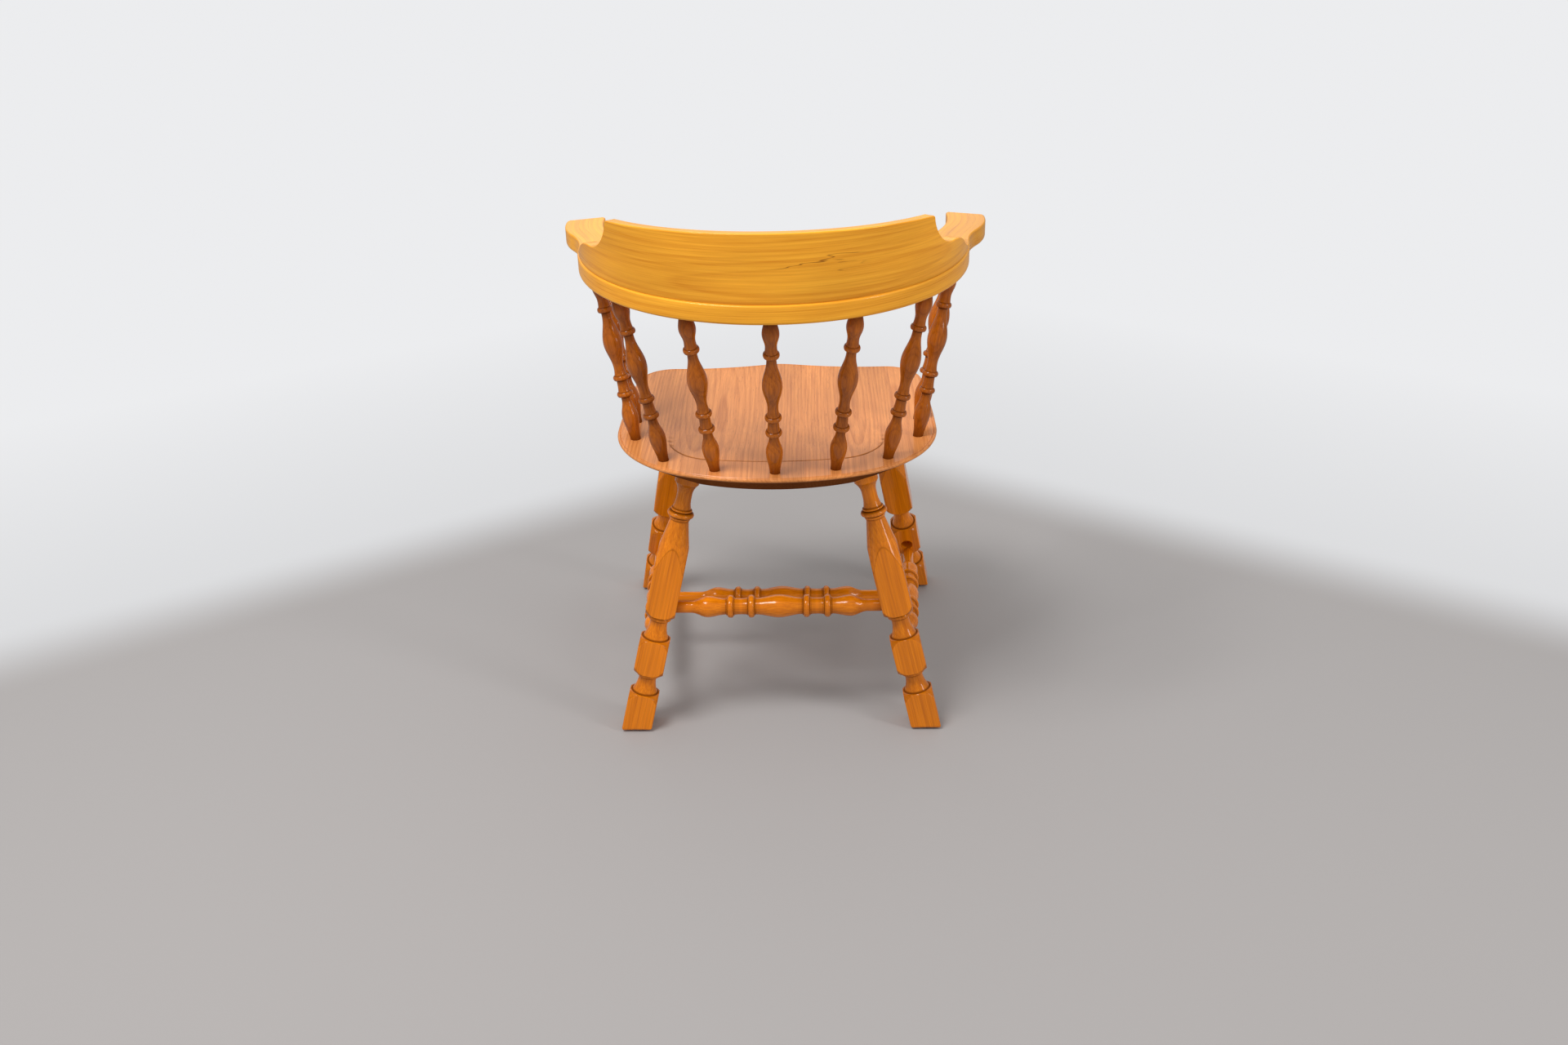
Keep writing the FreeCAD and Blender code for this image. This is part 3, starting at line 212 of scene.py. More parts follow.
# The leg's turning, from its foot, which starts below the floor and is trimmed level, up to its flare.
# WIDE lies outside the stock's corners, so the stock stays square there; ARCH touches them.
WIDE = 33.4
ARCH = 31.5
LEG_START = -14.0
LEG_TURNING = [
    ("line", 46.0, WIDE), ("line", 46.6, ARCH), ("arch", 60.0, 21.6), ("line", 60.5, 19.2),
    ("hollow", 85.6, 13.1), ("line", 86.6, 13.0), ("line", 87.0, 16.2), ("bead", 91.8, 16.2, 17.4),
    ("line", 92.5, 15.6), ("line", 93.0, 21.6), ("arch", 106.4, ARCH), ("line", 107.0, WIDE),
    ("line", 137.0, WIDE), ("line", 137.6, ARCH), ("arch", 151.0, 21.6), ("line", 151.5, 19.2),
    ("hollow", 177.0, 13.2), ("line", 181.4, 13.1), ("line", 181.8, 16.4), ("bead", 187.2, 16.4, 17.7),
    ("line", 188.6, 15.8), ("line", 189.5, 21.6), ("arch", 202.9, ARCH), ("line", 203.5, WIDE),
    ("line", 258.0, WIDE), ("line", 258.4, 32.0), ("taper", 342.0, 13.8), ("line", 342.8, 13.8),
    ("bead", 347.4, 14.4, 15.6), ("line", 347.8, 15.2), ("bead", 356.2, 15.2, 19.5), ("line", 356.6, 13.8),
    ("bead", 360.4, 13.8, 15.8), ("hollow", 378.0, 11.0),
]
LEG_STEP = 1.2


def leg_outline(span):
    """Turning envelope of a leg from the floor up; wide where the stock stays square."""
    points = [(LEG_START, WIDE)]
    for form, place, radius, *peak in LEG_TURNING:
        here, width = points[-1]
        shares = np.linspace(0.0, 1.0, 80 if form == "taper" else 20)[1:]
        if form == "arch":
            rise = shares ** 0.53 if radius > width else 1 - (1 - shares) ** 0.53
            points += list(zip(here + (place - here) * shares, width + (radius - width) * rise))
        elif form == "taper":
            drawn_in = 0.6 * (4 * shares * (1 - shares))
            points += list(zip(here + (place - here) * shares, width + (radius - width) * shares - drawn_in))
        else:
            points += trace((here, width), [(form, place, radius, *peak)], LEG_STEP)[1:]
    flare = [("line", span - 18.0, 11.0), ("flare", span, 17.8), ("line", span + 12.0, 17.8)]
    return points + trace(points[-1], flare, LEG_STEP)[1:]


# Mesh helpers. Each piece carries two attributes for its wood: grain, the place inside the plank with
# its third part along the fibres, and shade, how much painted shade darkens it in recesses, at joints and
# under edges.

# Edges sharper than this stay crisp.
SMOOTH_ANGLE = math.radians(38)


def add_object(name, lie, verts, faces, grain, shade):
    """A mesh object from local vertices, put in its place by the matrix lie."""
    mesh = bpy.data.meshes.new(name)
    mesh.from_pydata([tuple(lie @ Vector(v)) for v in verts], [], faces)
    mesh.validate()
    mesh.update()
    store = mesh.attributes.new("grain", "FLOAT_VECTOR", "POINT")
    store.data.foreach_set("vector", np.asarray(grain, dtype=np.float32).ravel())
    tone = mesh.attributes.new("shade", "FLOAT", "POINT")
    tone.data.foreach_set("value", np.asarray(shade, dtype=np.float32).ravel())
    if inside_out(mesh):
        mesh.flip_normals()
    mesh.shade_smooth()
    mesh.set_sharp_from_angle(angle=SMOOTH_ANGLE)
    piece = bpy.data.objects.new(name, mesh)
    bpy.context.scene.collection.objects.link(piece)
    return piece


def vertex_places(mesh):
    places = np.empty(len(mesh.vertices) * 3)
    mesh.vertices.foreach_get("co", places)
    return places.reshape(-1, 3)


def inside_out(mesh):
    """Whether a closed mesh has a negative volume."""
    mesh.calc_loop_triangles()
    count = len(mesh.loop_triangles)
    corners = np.empty(count * 3, dtype=np.int32)
    mesh.loop_triangles.foreach_get("vertices", corners)
    tri = vertex_places(mesh)[corners.reshape(-1, 3)]
    return np.einsum("ij,ij->i", tri[:, 0], np.cross(tri[:, 1], tri[:, 2])).sum() < 0


def skin(rings):
    """Vertices and faces of a tube through rings of equal length, with a pole at each end."""
    rings = np.asarray(rings)
    rows, around = rings.shape[:2]
    verts = list(rings.reshape(-1, 3))
    faces = []
    for row in range(rows - 1):
        low = row * around
        for index in range(around):
            after = (index + 1) % around
            faces.append((low + index, low + after, low + around + after, low + around + index))
    for row, order in ((0, -1), (rows - 1, 1)):
        verts.append(rings[row].mean(axis=0))
        pole = len(verts) - 1
        low = row * around
        for index in range(around):
            pair = (low + index, low + (index + 1) % around)
            faces.append((pole,) + pair[::order])
    return verts, faces


def with_poles(values):
    """Ring values with the mean of the first and last ring added for the two poles."""
    values = np.asarray(values, dtype=float)
    flat = values.reshape(-1, *values.shape[2:])
    return np.concatenate([flat, values[0].mean(axis=0)[None], values[-1].mean(axis=0)[None]])


def recess(points, reach, full):
    """How far each point of an outline lies below its surroundings within reach, 1 at the depth full."""
    place = np.array([p for p, _ in points])
    radius = np.array([r for _, r in points])
    deep = np.zeros(len(points))
    for index, spot in enumerate(place):
        near = np.abs(place - spot) < reach
        deep[index] = radius[near].max() - radius[index]
    return np.clip(deep / full, 0.0, 1.0)


def running_length(path):
    """Length along a path up to each of its points."""
    return np.concatenate([[0.0], np.cumsum(np.linalg.norm(np.diff(path, axis=0), axis=1))])


def apply_modifiers(piece):
    """Turns what the modifiers make into the piece's own plain mesh."""
    bpy.context.view_layer.update()
    graph = bpy.context.evaluated_depsgraph_get()
    mesh = bpy.data.meshes.new_from_object(piece.evaluated_get(graph))
    piece.modifiers.clear()
    piece.data = mesh


# Reach and full depth, in millimetres, of the grooves and of the wide coves that get painted shade; then how
# dark painted shade gets near a turned piece's ends, and over how many millimetres it fades.
GROOVE = (1.3, 2.0)
LEG_GROOVE = (1.6, 2.4)
COVE = (9.0, 6.0)
PAINTED_END_SHADE = 0.85
END_REACH = 22.0


def lathe(name, points, lie, segments, seed, ends=()):
    """A turned piece: the outline, in millimetres, spun about the local Z of lie, with painted shade in its
    recesses and near its ends.
    """
    turn = np.linspace(0.0, 2 * math.pi, segments, endpoint=False)
    place = np.array([p for p, _ in points]) * MM
    radius = np.array([r for _, r in points]) * MM
    local = np.stack([radius[:, None] * np.cos(turn), radius[:, None] * np.sin(turn),
                      np.repeat(place[:, None], segments, axis=1)], axis=-1)
    # Painted shade: dark in narrow grooves, slight in wide coves, and strong near the ends where the piece
    # meets seat, bow or legs.
    shade = np.maximum(recess(points, *GROOVE), 0.30 * recess(points, *COVE))
    for end in ends:
        near = np.clip(1 - np.abs(place / MM - end) / END_REACH, 0.0, 1.0)
        shade = np.maximum(shade, PAINTED_END_SHADE * near)
    grain = with_poles(local) + plank_offset(seed)
    verts, faces = skin(local)
    return add_object(name, lie, verts, faces, grain, with_poles(np.repeat(shade[:, None], segments, axis=1)))


def plank_offset(seed):
    """A fixed place in the wood for each piece, so that no two show the same figure."""
    return np.array([0.013 + 0.011 * math.sin(seed * 2.4), 0.017 * math.cos(seed * 1.7), 0.37 * seed])


def lie_between(start, finish):
    """Matrix with its origin at start, +Z towards finish and +X level."""
    up = (finish - start).normalized()
    side = (Vector((1, 0, 0)) - up * up.x).normalized()
    turn = Matrix((side, up.cross(side), up)).transposed().to_4x4()
    return Matrix.Translation(start) @ turn


# Mesh points this near to the end of a turned piece, in metres, belong to its end face.
END_SLACK = 0.2 * MM


def cad_axis(name):
    """Both ends of a turned CAD node's axis, lower end first."""
    places = np.unique(vertex_places(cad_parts[name].data).round(6), axis=0)
    low = places.min(axis=0)
    high = places.max(axis=0)
    middle = (low + high) / 2
    axis = np.linalg.svd(places - places.mean(axis=0), full_matrices=False)[2][0]
    along = (places - middle) @ axis
    ends = []
    for edge in (along.min(), along.max()):
        rim = places[np.abs(along - edge) < END_SLACK]
        ends.append(Vector((rim.min(axis=0) + rim.max(axis=0)) / 2))
    return sorted(ends, key=lambda spot: spot.z)


# Frames of the seat and of the bow, and the planes that the turned pieces meet.

def sizes():
    return bpy.context.scene.chair_sizes


def sloped_frame(rear, height, fall):
    """A frame on the chair's middle line that slopes down to the rear."""
    return Matrix.Translation((0, rear, height)) @ Matrix.Rotation(-fall, 4, "X")


def seat_frame():
    chair = sizes()
    return sloped_frame(chair.seat_rear, chair.seat_height, chair.seat_fall)


def bow_frame():
    chair = sizes()
    return sloped_frame(chair.arm_centre, chair.arm_height, chair.arm_fall)


def meet(start, finish, plane, offset=0.0):
    """Where the line through two points crosses the local XY plane of a frame."""
    inverse = plane.inverted()
    first = inverse @ start
    last = inverse @ finish
    return start.lerp(finish, (offset - first.z) / (last.z - first.z))


# Wood. A shared group turns the grain attribute into masks; each finish mixes its own colours from them.

def link(tree, source, target):
    tree.links.new(source, target)


def node(tree, kind, place, **settings):
    item = tree.nodes.new(kind)
    item.location = (place[0] * 200, place[1] * -180)
    for key, value in settings.items():
        setattr(item, key, value)
    return item


def sums(tree, kind, first, second, place, third=None):
    """A Math node; numbers are typed in and sockets are linked."""
    item = node(tree, "ShaderNodeMath", place, operation=kind)
    for slot, value in enumerate((first, second, third)):
        if value is None:
            continue
        if isinstance(value, (int, float)):
            item.inputs[slot].default_value = value
        else:
            link(tree, value, item.inputs[slot])
    return item.outputs[0]


def noise(tree, vector, scale, detail, place, stretch=(1, 1, 1), roughness=0.5, shift=(0, 0, 0)):
    mapping = node(tree, "ShaderNodeMapping", (place[0] - 1, place[1]))
    mapping.inputs["Scale"].default_value = stretch
    mapping.inputs["Location"].default_value = shift
    link(tree, vector, mapping.inputs["Vector"])
    item = node(tree, "ShaderNodeTexNoise", place)
    item.inputs["Scale"].default_value = scale
    item.inputs["Detail"].default_value = detail
    item.inputs["Roughness"].default_value = roughness
    link(tree, mapping.outputs[0], item.inputs["Vector"])
    return item.outputs[0]


def grain_group():
    """Masks of a plank: growth rings, fibres, pores and slow colour drift."""
    tree = bpy.data.node_groups.new("Plank grain", "ShaderNodeTree")
    face = tree.interface
    face.new_socket("Grain", in_out="INPUT", socket_type="NodeSocketVector")
    for name, value in (("Rings per metre", 260.0), ("Wander", 0.006), ("Pore amount", 0.5)):
        socket = face.new_socket(name, in_out="INPUT", socket_type="NodeSocketFloat")
        socket.default_value = value
    for name in ("Rings", "Fibres", "Pores", "Drift", "Relief"):
        face.new_socket(name, in_out="OUTPUT", socket_type="NodeSocketFloat")
    source = node(tree, "NodeGroupInput", (0, 0))
    result = node(tree, "NodeGroupOutput", (12, 0))
    grain = source.outputs["Grain"]

    wander = noise(tree, grain, 1.0, 2.0, (2, 0), (14, 14, 2.2))
    bow = noise(tree, grain, 1.0, 1.0, (2, 2), (5, 5, 1.1), shift=(3.1, 7.7, 1.3))
    parts = node(tree, "ShaderNodeSeparateXYZ", (1, 3))
    link(tree, grain, parts.inputs[0])
    bent = sums(tree, "MULTIPLY", sums(tree, "SUBTRACT", wander, 0.5, (3, 0)),
                source.outputs["Wander"], (4, 0))
    across = sums(tree, "ADD", parts.outputs[0], bent, (4, 2))
    slow = sums(tree, "MULTIPLY", sums(tree, "SUBTRACT", bow, 0.5, (3, 1)), 0.035, (4, 1))
    depth = sums(tree, "ADD", parts.outputs[1], slow, (4, 3))
    reach = sums(tree, "SQRT", sums(tree, "ADD", sums(tree, "MULTIPLY", across, across, (5, 2)),
                                    sums(tree, "MULTIPLY", depth, depth, (5, 3)), (6, 2)), None, (7, 2))
    turns = sums(tree, "MULTIPLY", reach, source.outputs["Rings per metre"], (8, 2))
    saw = sums(tree, "FRACT", turns, None, (9, 2))
    ring = sums(tree, "POWER", saw, 2.6, (10, 2))
    fall = sums(tree, "MULTIPLY", sums(tree, "SUBTRACT", 1.0, saw, (9, 3)), 6.0, (10, 3))
    back = sums(tree, "SMOOTH_MIN", ring, fall, (11, 2), 0.15)
    link(tree, back, result.inputs["Rings"])

    fine = noise(tree, grain, 1.0, 3.0, (2, 5), (900, 900, 14), 0.6)
    coarse = noise(tree, grain, 1.0, 2.0, (2, 6), (210, 210, 5), 0.5, (1.7, 0.4, 2.2))
    fibres = sums(tree, "ADD", sums(tree, "MULTIPLY", fine, 0.5, (4, 5)),
                  sums(tree, "MULTIPLY", coarse, 0.5, (4, 6)), (5, 5))
    link(tree, fibres, result.inputs["Fibres"])
    dashes = noise(tree, grain, 1.0, 1.0, (2, 7), (1500, 1500, 42), 0.4, (0.3, 2.9, 0.8))
    amount = sums(tree, "MULTIPLY", source.outputs["Pore amount"], 0.22, (3, 8))
    sparse = sums(tree, "SUBTRACT", dashes, sums(tree, "SUBTRACT", 0.86, amount, (4, 8)), (5, 7))
    pores = sums(tree, "MULTIPLY", sparse, 9.0, (6, 7))
    pores.node.use_clamp = True
    link(tree, pores, result.inputs["Pores"])
    drift = noise(tree, grain, 1.0, 2.0, (2, 9), (9, 9, 3.0), 0.5, (5.2, 1.9, 0.1))
    link(tree, drift, result.inputs["Drift"])
    relief = sums(tree, "SUBTRACT", sums(tree, "MULTIPLY", fibres, 0.35, (7, 5)), pores, (8, 5))
    link(tree, relief, result.inputs["Relief"])
    return tree


def mixed(tree, factor, first, second, place, blend="MIX"):
    item = node(tree, "ShaderNodeMix", place, data_type="RGBA", blend_type=blend)
    if isinstance(factor, (int, float)):
        item.inputs["Factor"].default_value = factor
    else:
        link(tree, factor, item.inputs["Factor"])
    for slot, value in ((6, first), (7, second)):
        if isinstance(value, tuple):
            item.inputs[slot].default_value = value
        else:
            link(tree, value, item.inputs[slot])
    return item.outputs[2]


def ranged(tree, value, low, high, to_low, to_high, place):
    item = node(tree, "ShaderNodeMapRange", place)
    for slot, number in zip(("From Min", "From Max", "To Min", "To Max"), (low, high, to_low, to_high)):
        item.inputs[slot].default_value = number
    link(tree, value, item.inputs["Value"])
    return item.outputs[0]


def rgba(values, strength=1.0):
    return (*(channel * strength for channel in values), 1.0)


def wood(name, light, dark, rings, wander, pores, ring_strength, shine, coat, relief_mm, streaks=False):
    """A lacquered wood: light and dark wood mixed by the plank masks, painted shade in recesses, at joints
    and under edges, satin coat.
    """
    material = bpy.data.materials.new(name)
    material.use_nodes = True
    tree = material.node_tree
    tree.nodes.clear()
    output = node(tree, "ShaderNodeOutputMaterial", (14, 0))
    shader = node(tree, "ShaderNodeBsdfPrincipled", (12, 0))
    link(tree, shader.outputs[0], output.inputs["Surface"])
    grain = node(tree, "ShaderNodeAttribute", (0, 0), attribute_name="grain")
    shade = node(tree, "ShaderNodeAttribute", (0, 3), attribute_name="shade")
    plank = node(tree, "ShaderNodeGroup", (2, 0))
    plank.node_tree = bpy.data.node_groups.get("Plank grain") or grain_group()
    link(tree, grain.outputs["Vector"], plank.inputs["Grain"])
    plank.inputs["Rings per metre"].default_value = rings
    plank.inputs["Wander"].default_value = wander
    plank.inputs["Pore amount"].default_value = pores

    tone = mixed(tree, sums(tree, "MULTIPLY", plank.outputs["Rings"], ring_strength, (4, 0)),
                 rgba(light), rgba(dark), (5, 0))
    fibre = ranged(tree, plank.outputs["Fibres"], 0.36, 0.64, 0.0, 1.0, (4, 1))
    tone = mixed(tree, 0.55, tone, mixed(tree, fibre, rgba(dark), rgba(light), (5, 1)), (6, 0))
    drift = ranged(tree, plank.outputs["Drift"], 0.3, 0.7, 0.80, 1.14, (4, 2))
    scaled = node(tree, "ShaderNodeVectorMath", (7, 0), operation="SCALE")
    link(tree, tone, scaled.inputs[0])
    link(tree, drift, scaled.inputs["Scale"])
    tone = scaled.outputs[0]
    if streaks:
        tone = mineral_streaks(tree, grain.outputs["Vector"], tone, dark)
    tone = mixed(tree, sums(tree, "MULTIPLY", plank.outputs["Pores"], 0.55, (7, 2)), tone,
                 rgba(dark, 0.35), (8, 0))
    # Painted shade: the shade attribute mixes the tone towards the painted-shade colour, patchy along the
    # fibres, and takes away coat and specular where it is dark.
    painted_shade = bpy.context.scene.chair_colours.painted_shade
    patchy = sums(tree, "MULTIPLY", shade.outputs["Fac"],
                  ranged(tree, plank.outputs["Fibres"], 0.3, 0.7, 0.72, 1.0, (7, 3)), (8, 3))
    tone = mixed(tree, sums(tree, "MULTIPLY", patchy, 0.92, (9, 3)), tone, rgba(painted_shade), (10, 0))
    link(tree, tone, shader.inputs["Base Color"])
    link(tree, ranged(tree, plank.outputs["Fibres"], 0.3, 0.7, shine - 0.05, shine + 0.07, (10, 4)),
         shader.inputs["Roughness"])
    shader.inputs["Coat Roughness"].default_value = 0.07
    clear = sums(tree, "SUBTRACT", 1.0, shade.outputs["Fac"], (9, 5))
    link(tree, sums(tree, "MULTIPLY", clear, coat, (10, 5)), shader.inputs["Coat Weight"])
    link(tree, sums(tree, "MULTIPLY", clear, 0.14, (10, 6)), shader.inputs["Specular IOR Level"])
    shader.inputs["IOR"].default_value = 1.5
    bump = node(tree, "ShaderNodeBump", (11, 3))
    bump.inputs["Strength"].default_value = 0.5
    bump.inputs["Distance"].default_value = relief_mm * MM
    link(tree, plank.outputs["Relief"], bump.inputs["Height"])
    link(tree, bump.outputs[0], shader.inputs["Normal"])
    return material


def mineral_streaks(tree, grain, tone, dark):
    """Thin wandering brown lines that follow the fibres here and there."""
    field = noise(tree, grain, 1.0, 3.0, (7, 6), (55, 55, 6.0), 0.55, (0.6, 0.2, 0.9))
    line = sums(tree, "ABSOLUTE", sums(tree, "SUBTRACT", field, 0.5, (8, 6)), None, (9, 6))
    thin = ranged(tree, line, 0.0, 0.016, 1.0, 0.0, (10, 6))
    spread = (30.0, 0.0, 11.0)
    centre = (0.028, 0.0, 1.245)
    window = node(tree, "ShaderNodeMapping", (7, 8))
    window.inputs["Scale"].default_value = spread
    window.inputs["Location"].default_value = [-place * size for place, size in zip(centre, spread)]
    link(tree, grain, window.inputs["Vector"])
    patch_field = node(tree, "ShaderNodeTexGradient", (8, 8), gradient_type="SPHERICAL")
    link(tree, window.outputs[0], patch_field.inputs["Vector"])
    patch = ranged(tree, patch_field.outputs["Fac"], 0.0, 0.45, 0.0, 0.95, (9, 8))
    return mixed(tree, sums(tree, "MULTIPLY", thin, patch, (11, 6)), tone,
                 rgba(dark, 0.45), (12, 6))


# The wood finishes: which two colours they use and how their grain and lacquer are set.
WOODS = {
    "crest lacquer": ("bow", {"rings": 330.0, "wander": 0.010, "pores": 0.30, "ring_strength": 0.70,
                              "shine": 0.30, "coat": 0.22, "relief_mm": 0.05, "streaks": True}),
    "arm lacquer": ("bow", {"rings": 330.0, "wander": 0.008, "pores": 0.25, "ring_strength": 0.6,
                            "shine": 0.30, "coat": 0.22, "relief_mm": 0.05}),
    "turned lacquer": ("turned", {"rings": 380.0, "wander": 0.006, "pores": 0.2, "ring_strength": 0.5,
                                  "shine": 0.24, "coat": 0.55, "relief_mm": 0.04}),
    "spindle lacquer": ("row", {"rings": 380.0, "wander": 0.006, "pores": 0.2, "ring_strength": 0.6,
                                "shine": 0.22, "coat": 0.60, "relief_mm": 0.04}),
    "seat lacquer": ("seat", {"rings": 210.0, "wander": 0.012, "pores": 0.85, "ring_strength": 0.95,
                              "shine": 0.34, "coat": 0.16, "relief_mm": 0.10}),
}


def finish_material(name):
    """The finish called name, made on first use: one of the woods, or the dark one of the glides."""
    found = bpy.data.materials.get(name)
    if found:
        return found
    tones = bpy.context.scene.chair_colours
    if name in WOODS:
        kind, settings = WOODS[name]
        return wood(name, getattr(tones, kind + "_light"), getattr(tones, kind + "_dark"), **settings)
    material = bpy.data.materials.new(name)
    material.use_nodes = True
    tree = material.node_tree
    shader = tree.nodes["Principled BSDF"]
    coords = node(tree, "ShaderNodeTexCoord", (-5, 0))
    specks = noise(tree, coords.outputs["Object"], 900.0, 3.0, (-3, 0))
    link(tree, mixed(tree, specks, rgba(tones.glide), rgba(tones.glide, 2.2), (-1, 0)),
         shader.inputs["Base Color"])
    link(tree, ranged(tree, specks, 0.3, 0.7, 0.5, 0.75, (-2, 2)), shader.inputs["Roughness"])
    return material


def settle(piece, finish, slot, *nodes):
    """Gives a piece its finish and lets it stand for its CAD nodes on the one body."""
    piece.data.materials.clear()
    piece.data.materials.append(finish_material(finish))
    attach(piece, "root")
    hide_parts(*nodes)
    if len(nodes) == 1:
        piece.name = nodes[0] + "_finished"


# Seat.

def arc_points(centre, radius, start, finish, count):
    """Points of the arc about centre from start to finish, the short way round."""
    first = math.atan2(start[1] - centre[1], start[0] - centre[0])
    last = math.atan2(finish[1] - centre[1], finish[0] - centre[0])
    swing = (last - first + math.pi) % (2 * math.pi) - math.pi
    turns = first + swing * np.linspace(0.0, 1.0, count, endpoint=False)
    return np.stack([centre[0] + radius * np.cos(turns), centre[1] + radius * np.sin(turns)], axis=-1)


def seat_plan():
    """The seat's outline in its own frame, clockwise from the rear middle, closed."""
    chair = sizes()
    rear, wide, at = chair.seat_rear_radius, chair.seat_half_width, chair.seat_widest_at
    ahead = rear - at
    corner = (rear ** 2 - wide ** 2 - ahead ** 2) / (2 * (rear - wide))
    rear_centre = np.array([0.0, -rear])
    corner_centre = np.array([wide - corner, -at])
    side_centre = np.array([wide - chair.seat_side_radius, -at])
    front_centre = np.array([0.0, chair.seat_front_radius - chair.seat_depth])
    small = chair.seat_corner_radius
    near = chair.seat_side_radius - small
    far = chair.seat_front_radius - small
    span = front_centre - side_centre
    gap = np.linalg.norm(span)
    reach = (near ** 2 - far ** 2 + gap ** 2) / (2 * gap)
    off = math.sqrt(near ** 2 - reach ** 2)
    unit = span / gap
    choices = [side_centre + unit * reach + sign * off * np.array([unit[1], -unit[0]]) for sign in (1, -1)]
    small_centre = min(choices, key=lambda spot: spot[1])

    def along(spot, way, radius):
        return spot + way / np.linalg.norm(way) * radius

    joints = [np.array([0.0, 0.0]), along(rear_centre, corner_centre - rear_centre, rear),
              np.array([wide, -at]), along(small_centre, small_centre - side_centre, small),
              along(small_centre, small_centre - front_centre, small), np.array([0.0, -chair.seat_depth])]
    arcs = [(rear_centre, rear, 40), (corner_centre, corner, 56), (side_centre, chair.seat_side_radius, 50),
            (small_centre, small, 20), (front_centre, chair.seat_front_radius, 56)]
    half = np.concatenate([arc_points(centre, radius, joints[k], joints[k + 1], count)
                           for k, (centre, radius, count) in enumerate(arcs)])
    mirrored = half[::-1] * np.array([-1, 1])
    return np.concatenate([half, [[0.0, -chair.seat_depth]], mirrored[:-1]])


# The carved line behind the sitter, in millimetres from the seat's rear middle: a wide arc across the
# rear, a tight bend at each end of it and a straight run forward that fades out.
LINE_REAR = 62.5
LINE_RADIUS = 500.0
LINE_HALF_ARC = 95.0
BEND_RADIUS = 75.0
BEND_ASIDE = 80.7
BEND_FORWARD = 145.2
LINE_SIDE = 155.7
LINE_END = 170.0

# The two hollows, in millimetres: parts of ellipsoids whose centres stand above the seat, blended together.
HOLLOW_ASIDE = 97.0
HOLLOW_FORWARD = 305.0
HOLLOW_HALF_WIDTH = 235.0
HOLLOW_HALF_DEPTH = 400.0
HOLLOW_TALL = 60.0
HOLLOW_ABOVE = 51.0
HOLLOW_BLEND = 1.2


def deck_line_distance(across, forward):
    """Signed distance, in millimetres, from the carved line; positive in front of it."""
    across = np.abs(across)
    sweep = np.sqrt(np.maximum(LINE_RADIUS ** 2 - across ** 2, 1.0))
    middle = forward - (LINE_REAR + LINE_RADIUS - sweep)
    bend = BEND_RADIUS - np.hypot(across - BEND_ASIDE, forward - BEND_FORWARD)
    side = LINE_SIDE - across
    return np.where(across < LINE_HALF_ARC, middle, np.where(forward < BEND_FORWARD, bend, side))


def seat_hollow(across, forward):
    """Depth of the sitter's hollows and the carved line, in millimetres, in the seat's own frame."""
    def bowl(shift):
        inside = 1 - ((across - shift) / HOLLOW_HALF_WIDTH) ** 2
        inside = inside - ((forward - HOLLOW_FORWARD) / HOLLOW_HALF_DEPTH) ** 2
        return HOLLOW_TALL * np.sqrt(np.maximum(inside, 0.0)) - HOLLOW_ABOVE

    first = np.exp(bowl(HOLLOW_ASIDE) / HOLLOW_BLEND)
    second = np.exp(bowl(-HOLLOW_ASIDE) / HOLLOW_BLEND)
    depth = HOLLOW_BLEND * np.log(first + second + 1.0)
    line = deck_line_distance(across, forward)
    fade = np.clip((LINE_END - forward) / 40.0, 0.0, 1.0)
    groove = 1.3 * np.exp(-(line / 1.1) ** 2) * fade
    step = 0.7 / (1 + np.exp(-line / 0.5)) * fade
    return depth + groove + step


# The seat's top edge: inset from the outline and height above the hollowed top, in millimetres, through
# a fine groove and round the rim down to the lip.
RIM = ((6.6, 0.0), (5.6, -0.05), (5.1, -0.5), (4.7, -0.95), (4.3, -1.0), (3.9, -0.75), (3.5, -0.3),
       (2.9, -0.05), (2.2, -0.1), (1.4, -0.45), (0.7, -1.1), (0.2, -2.0), (0.0, -3.0), (0.05, -3.6),
       (0.5, -4.5))

# The rings of the top stop RIM_START from the outline. They lie close together within LINE_BAND of
# LINE_INSET, where the line is carved. In millimetres.
RIM_START = 9.0
LINE_INSET = 51.5
LINE_BAND = 5.0


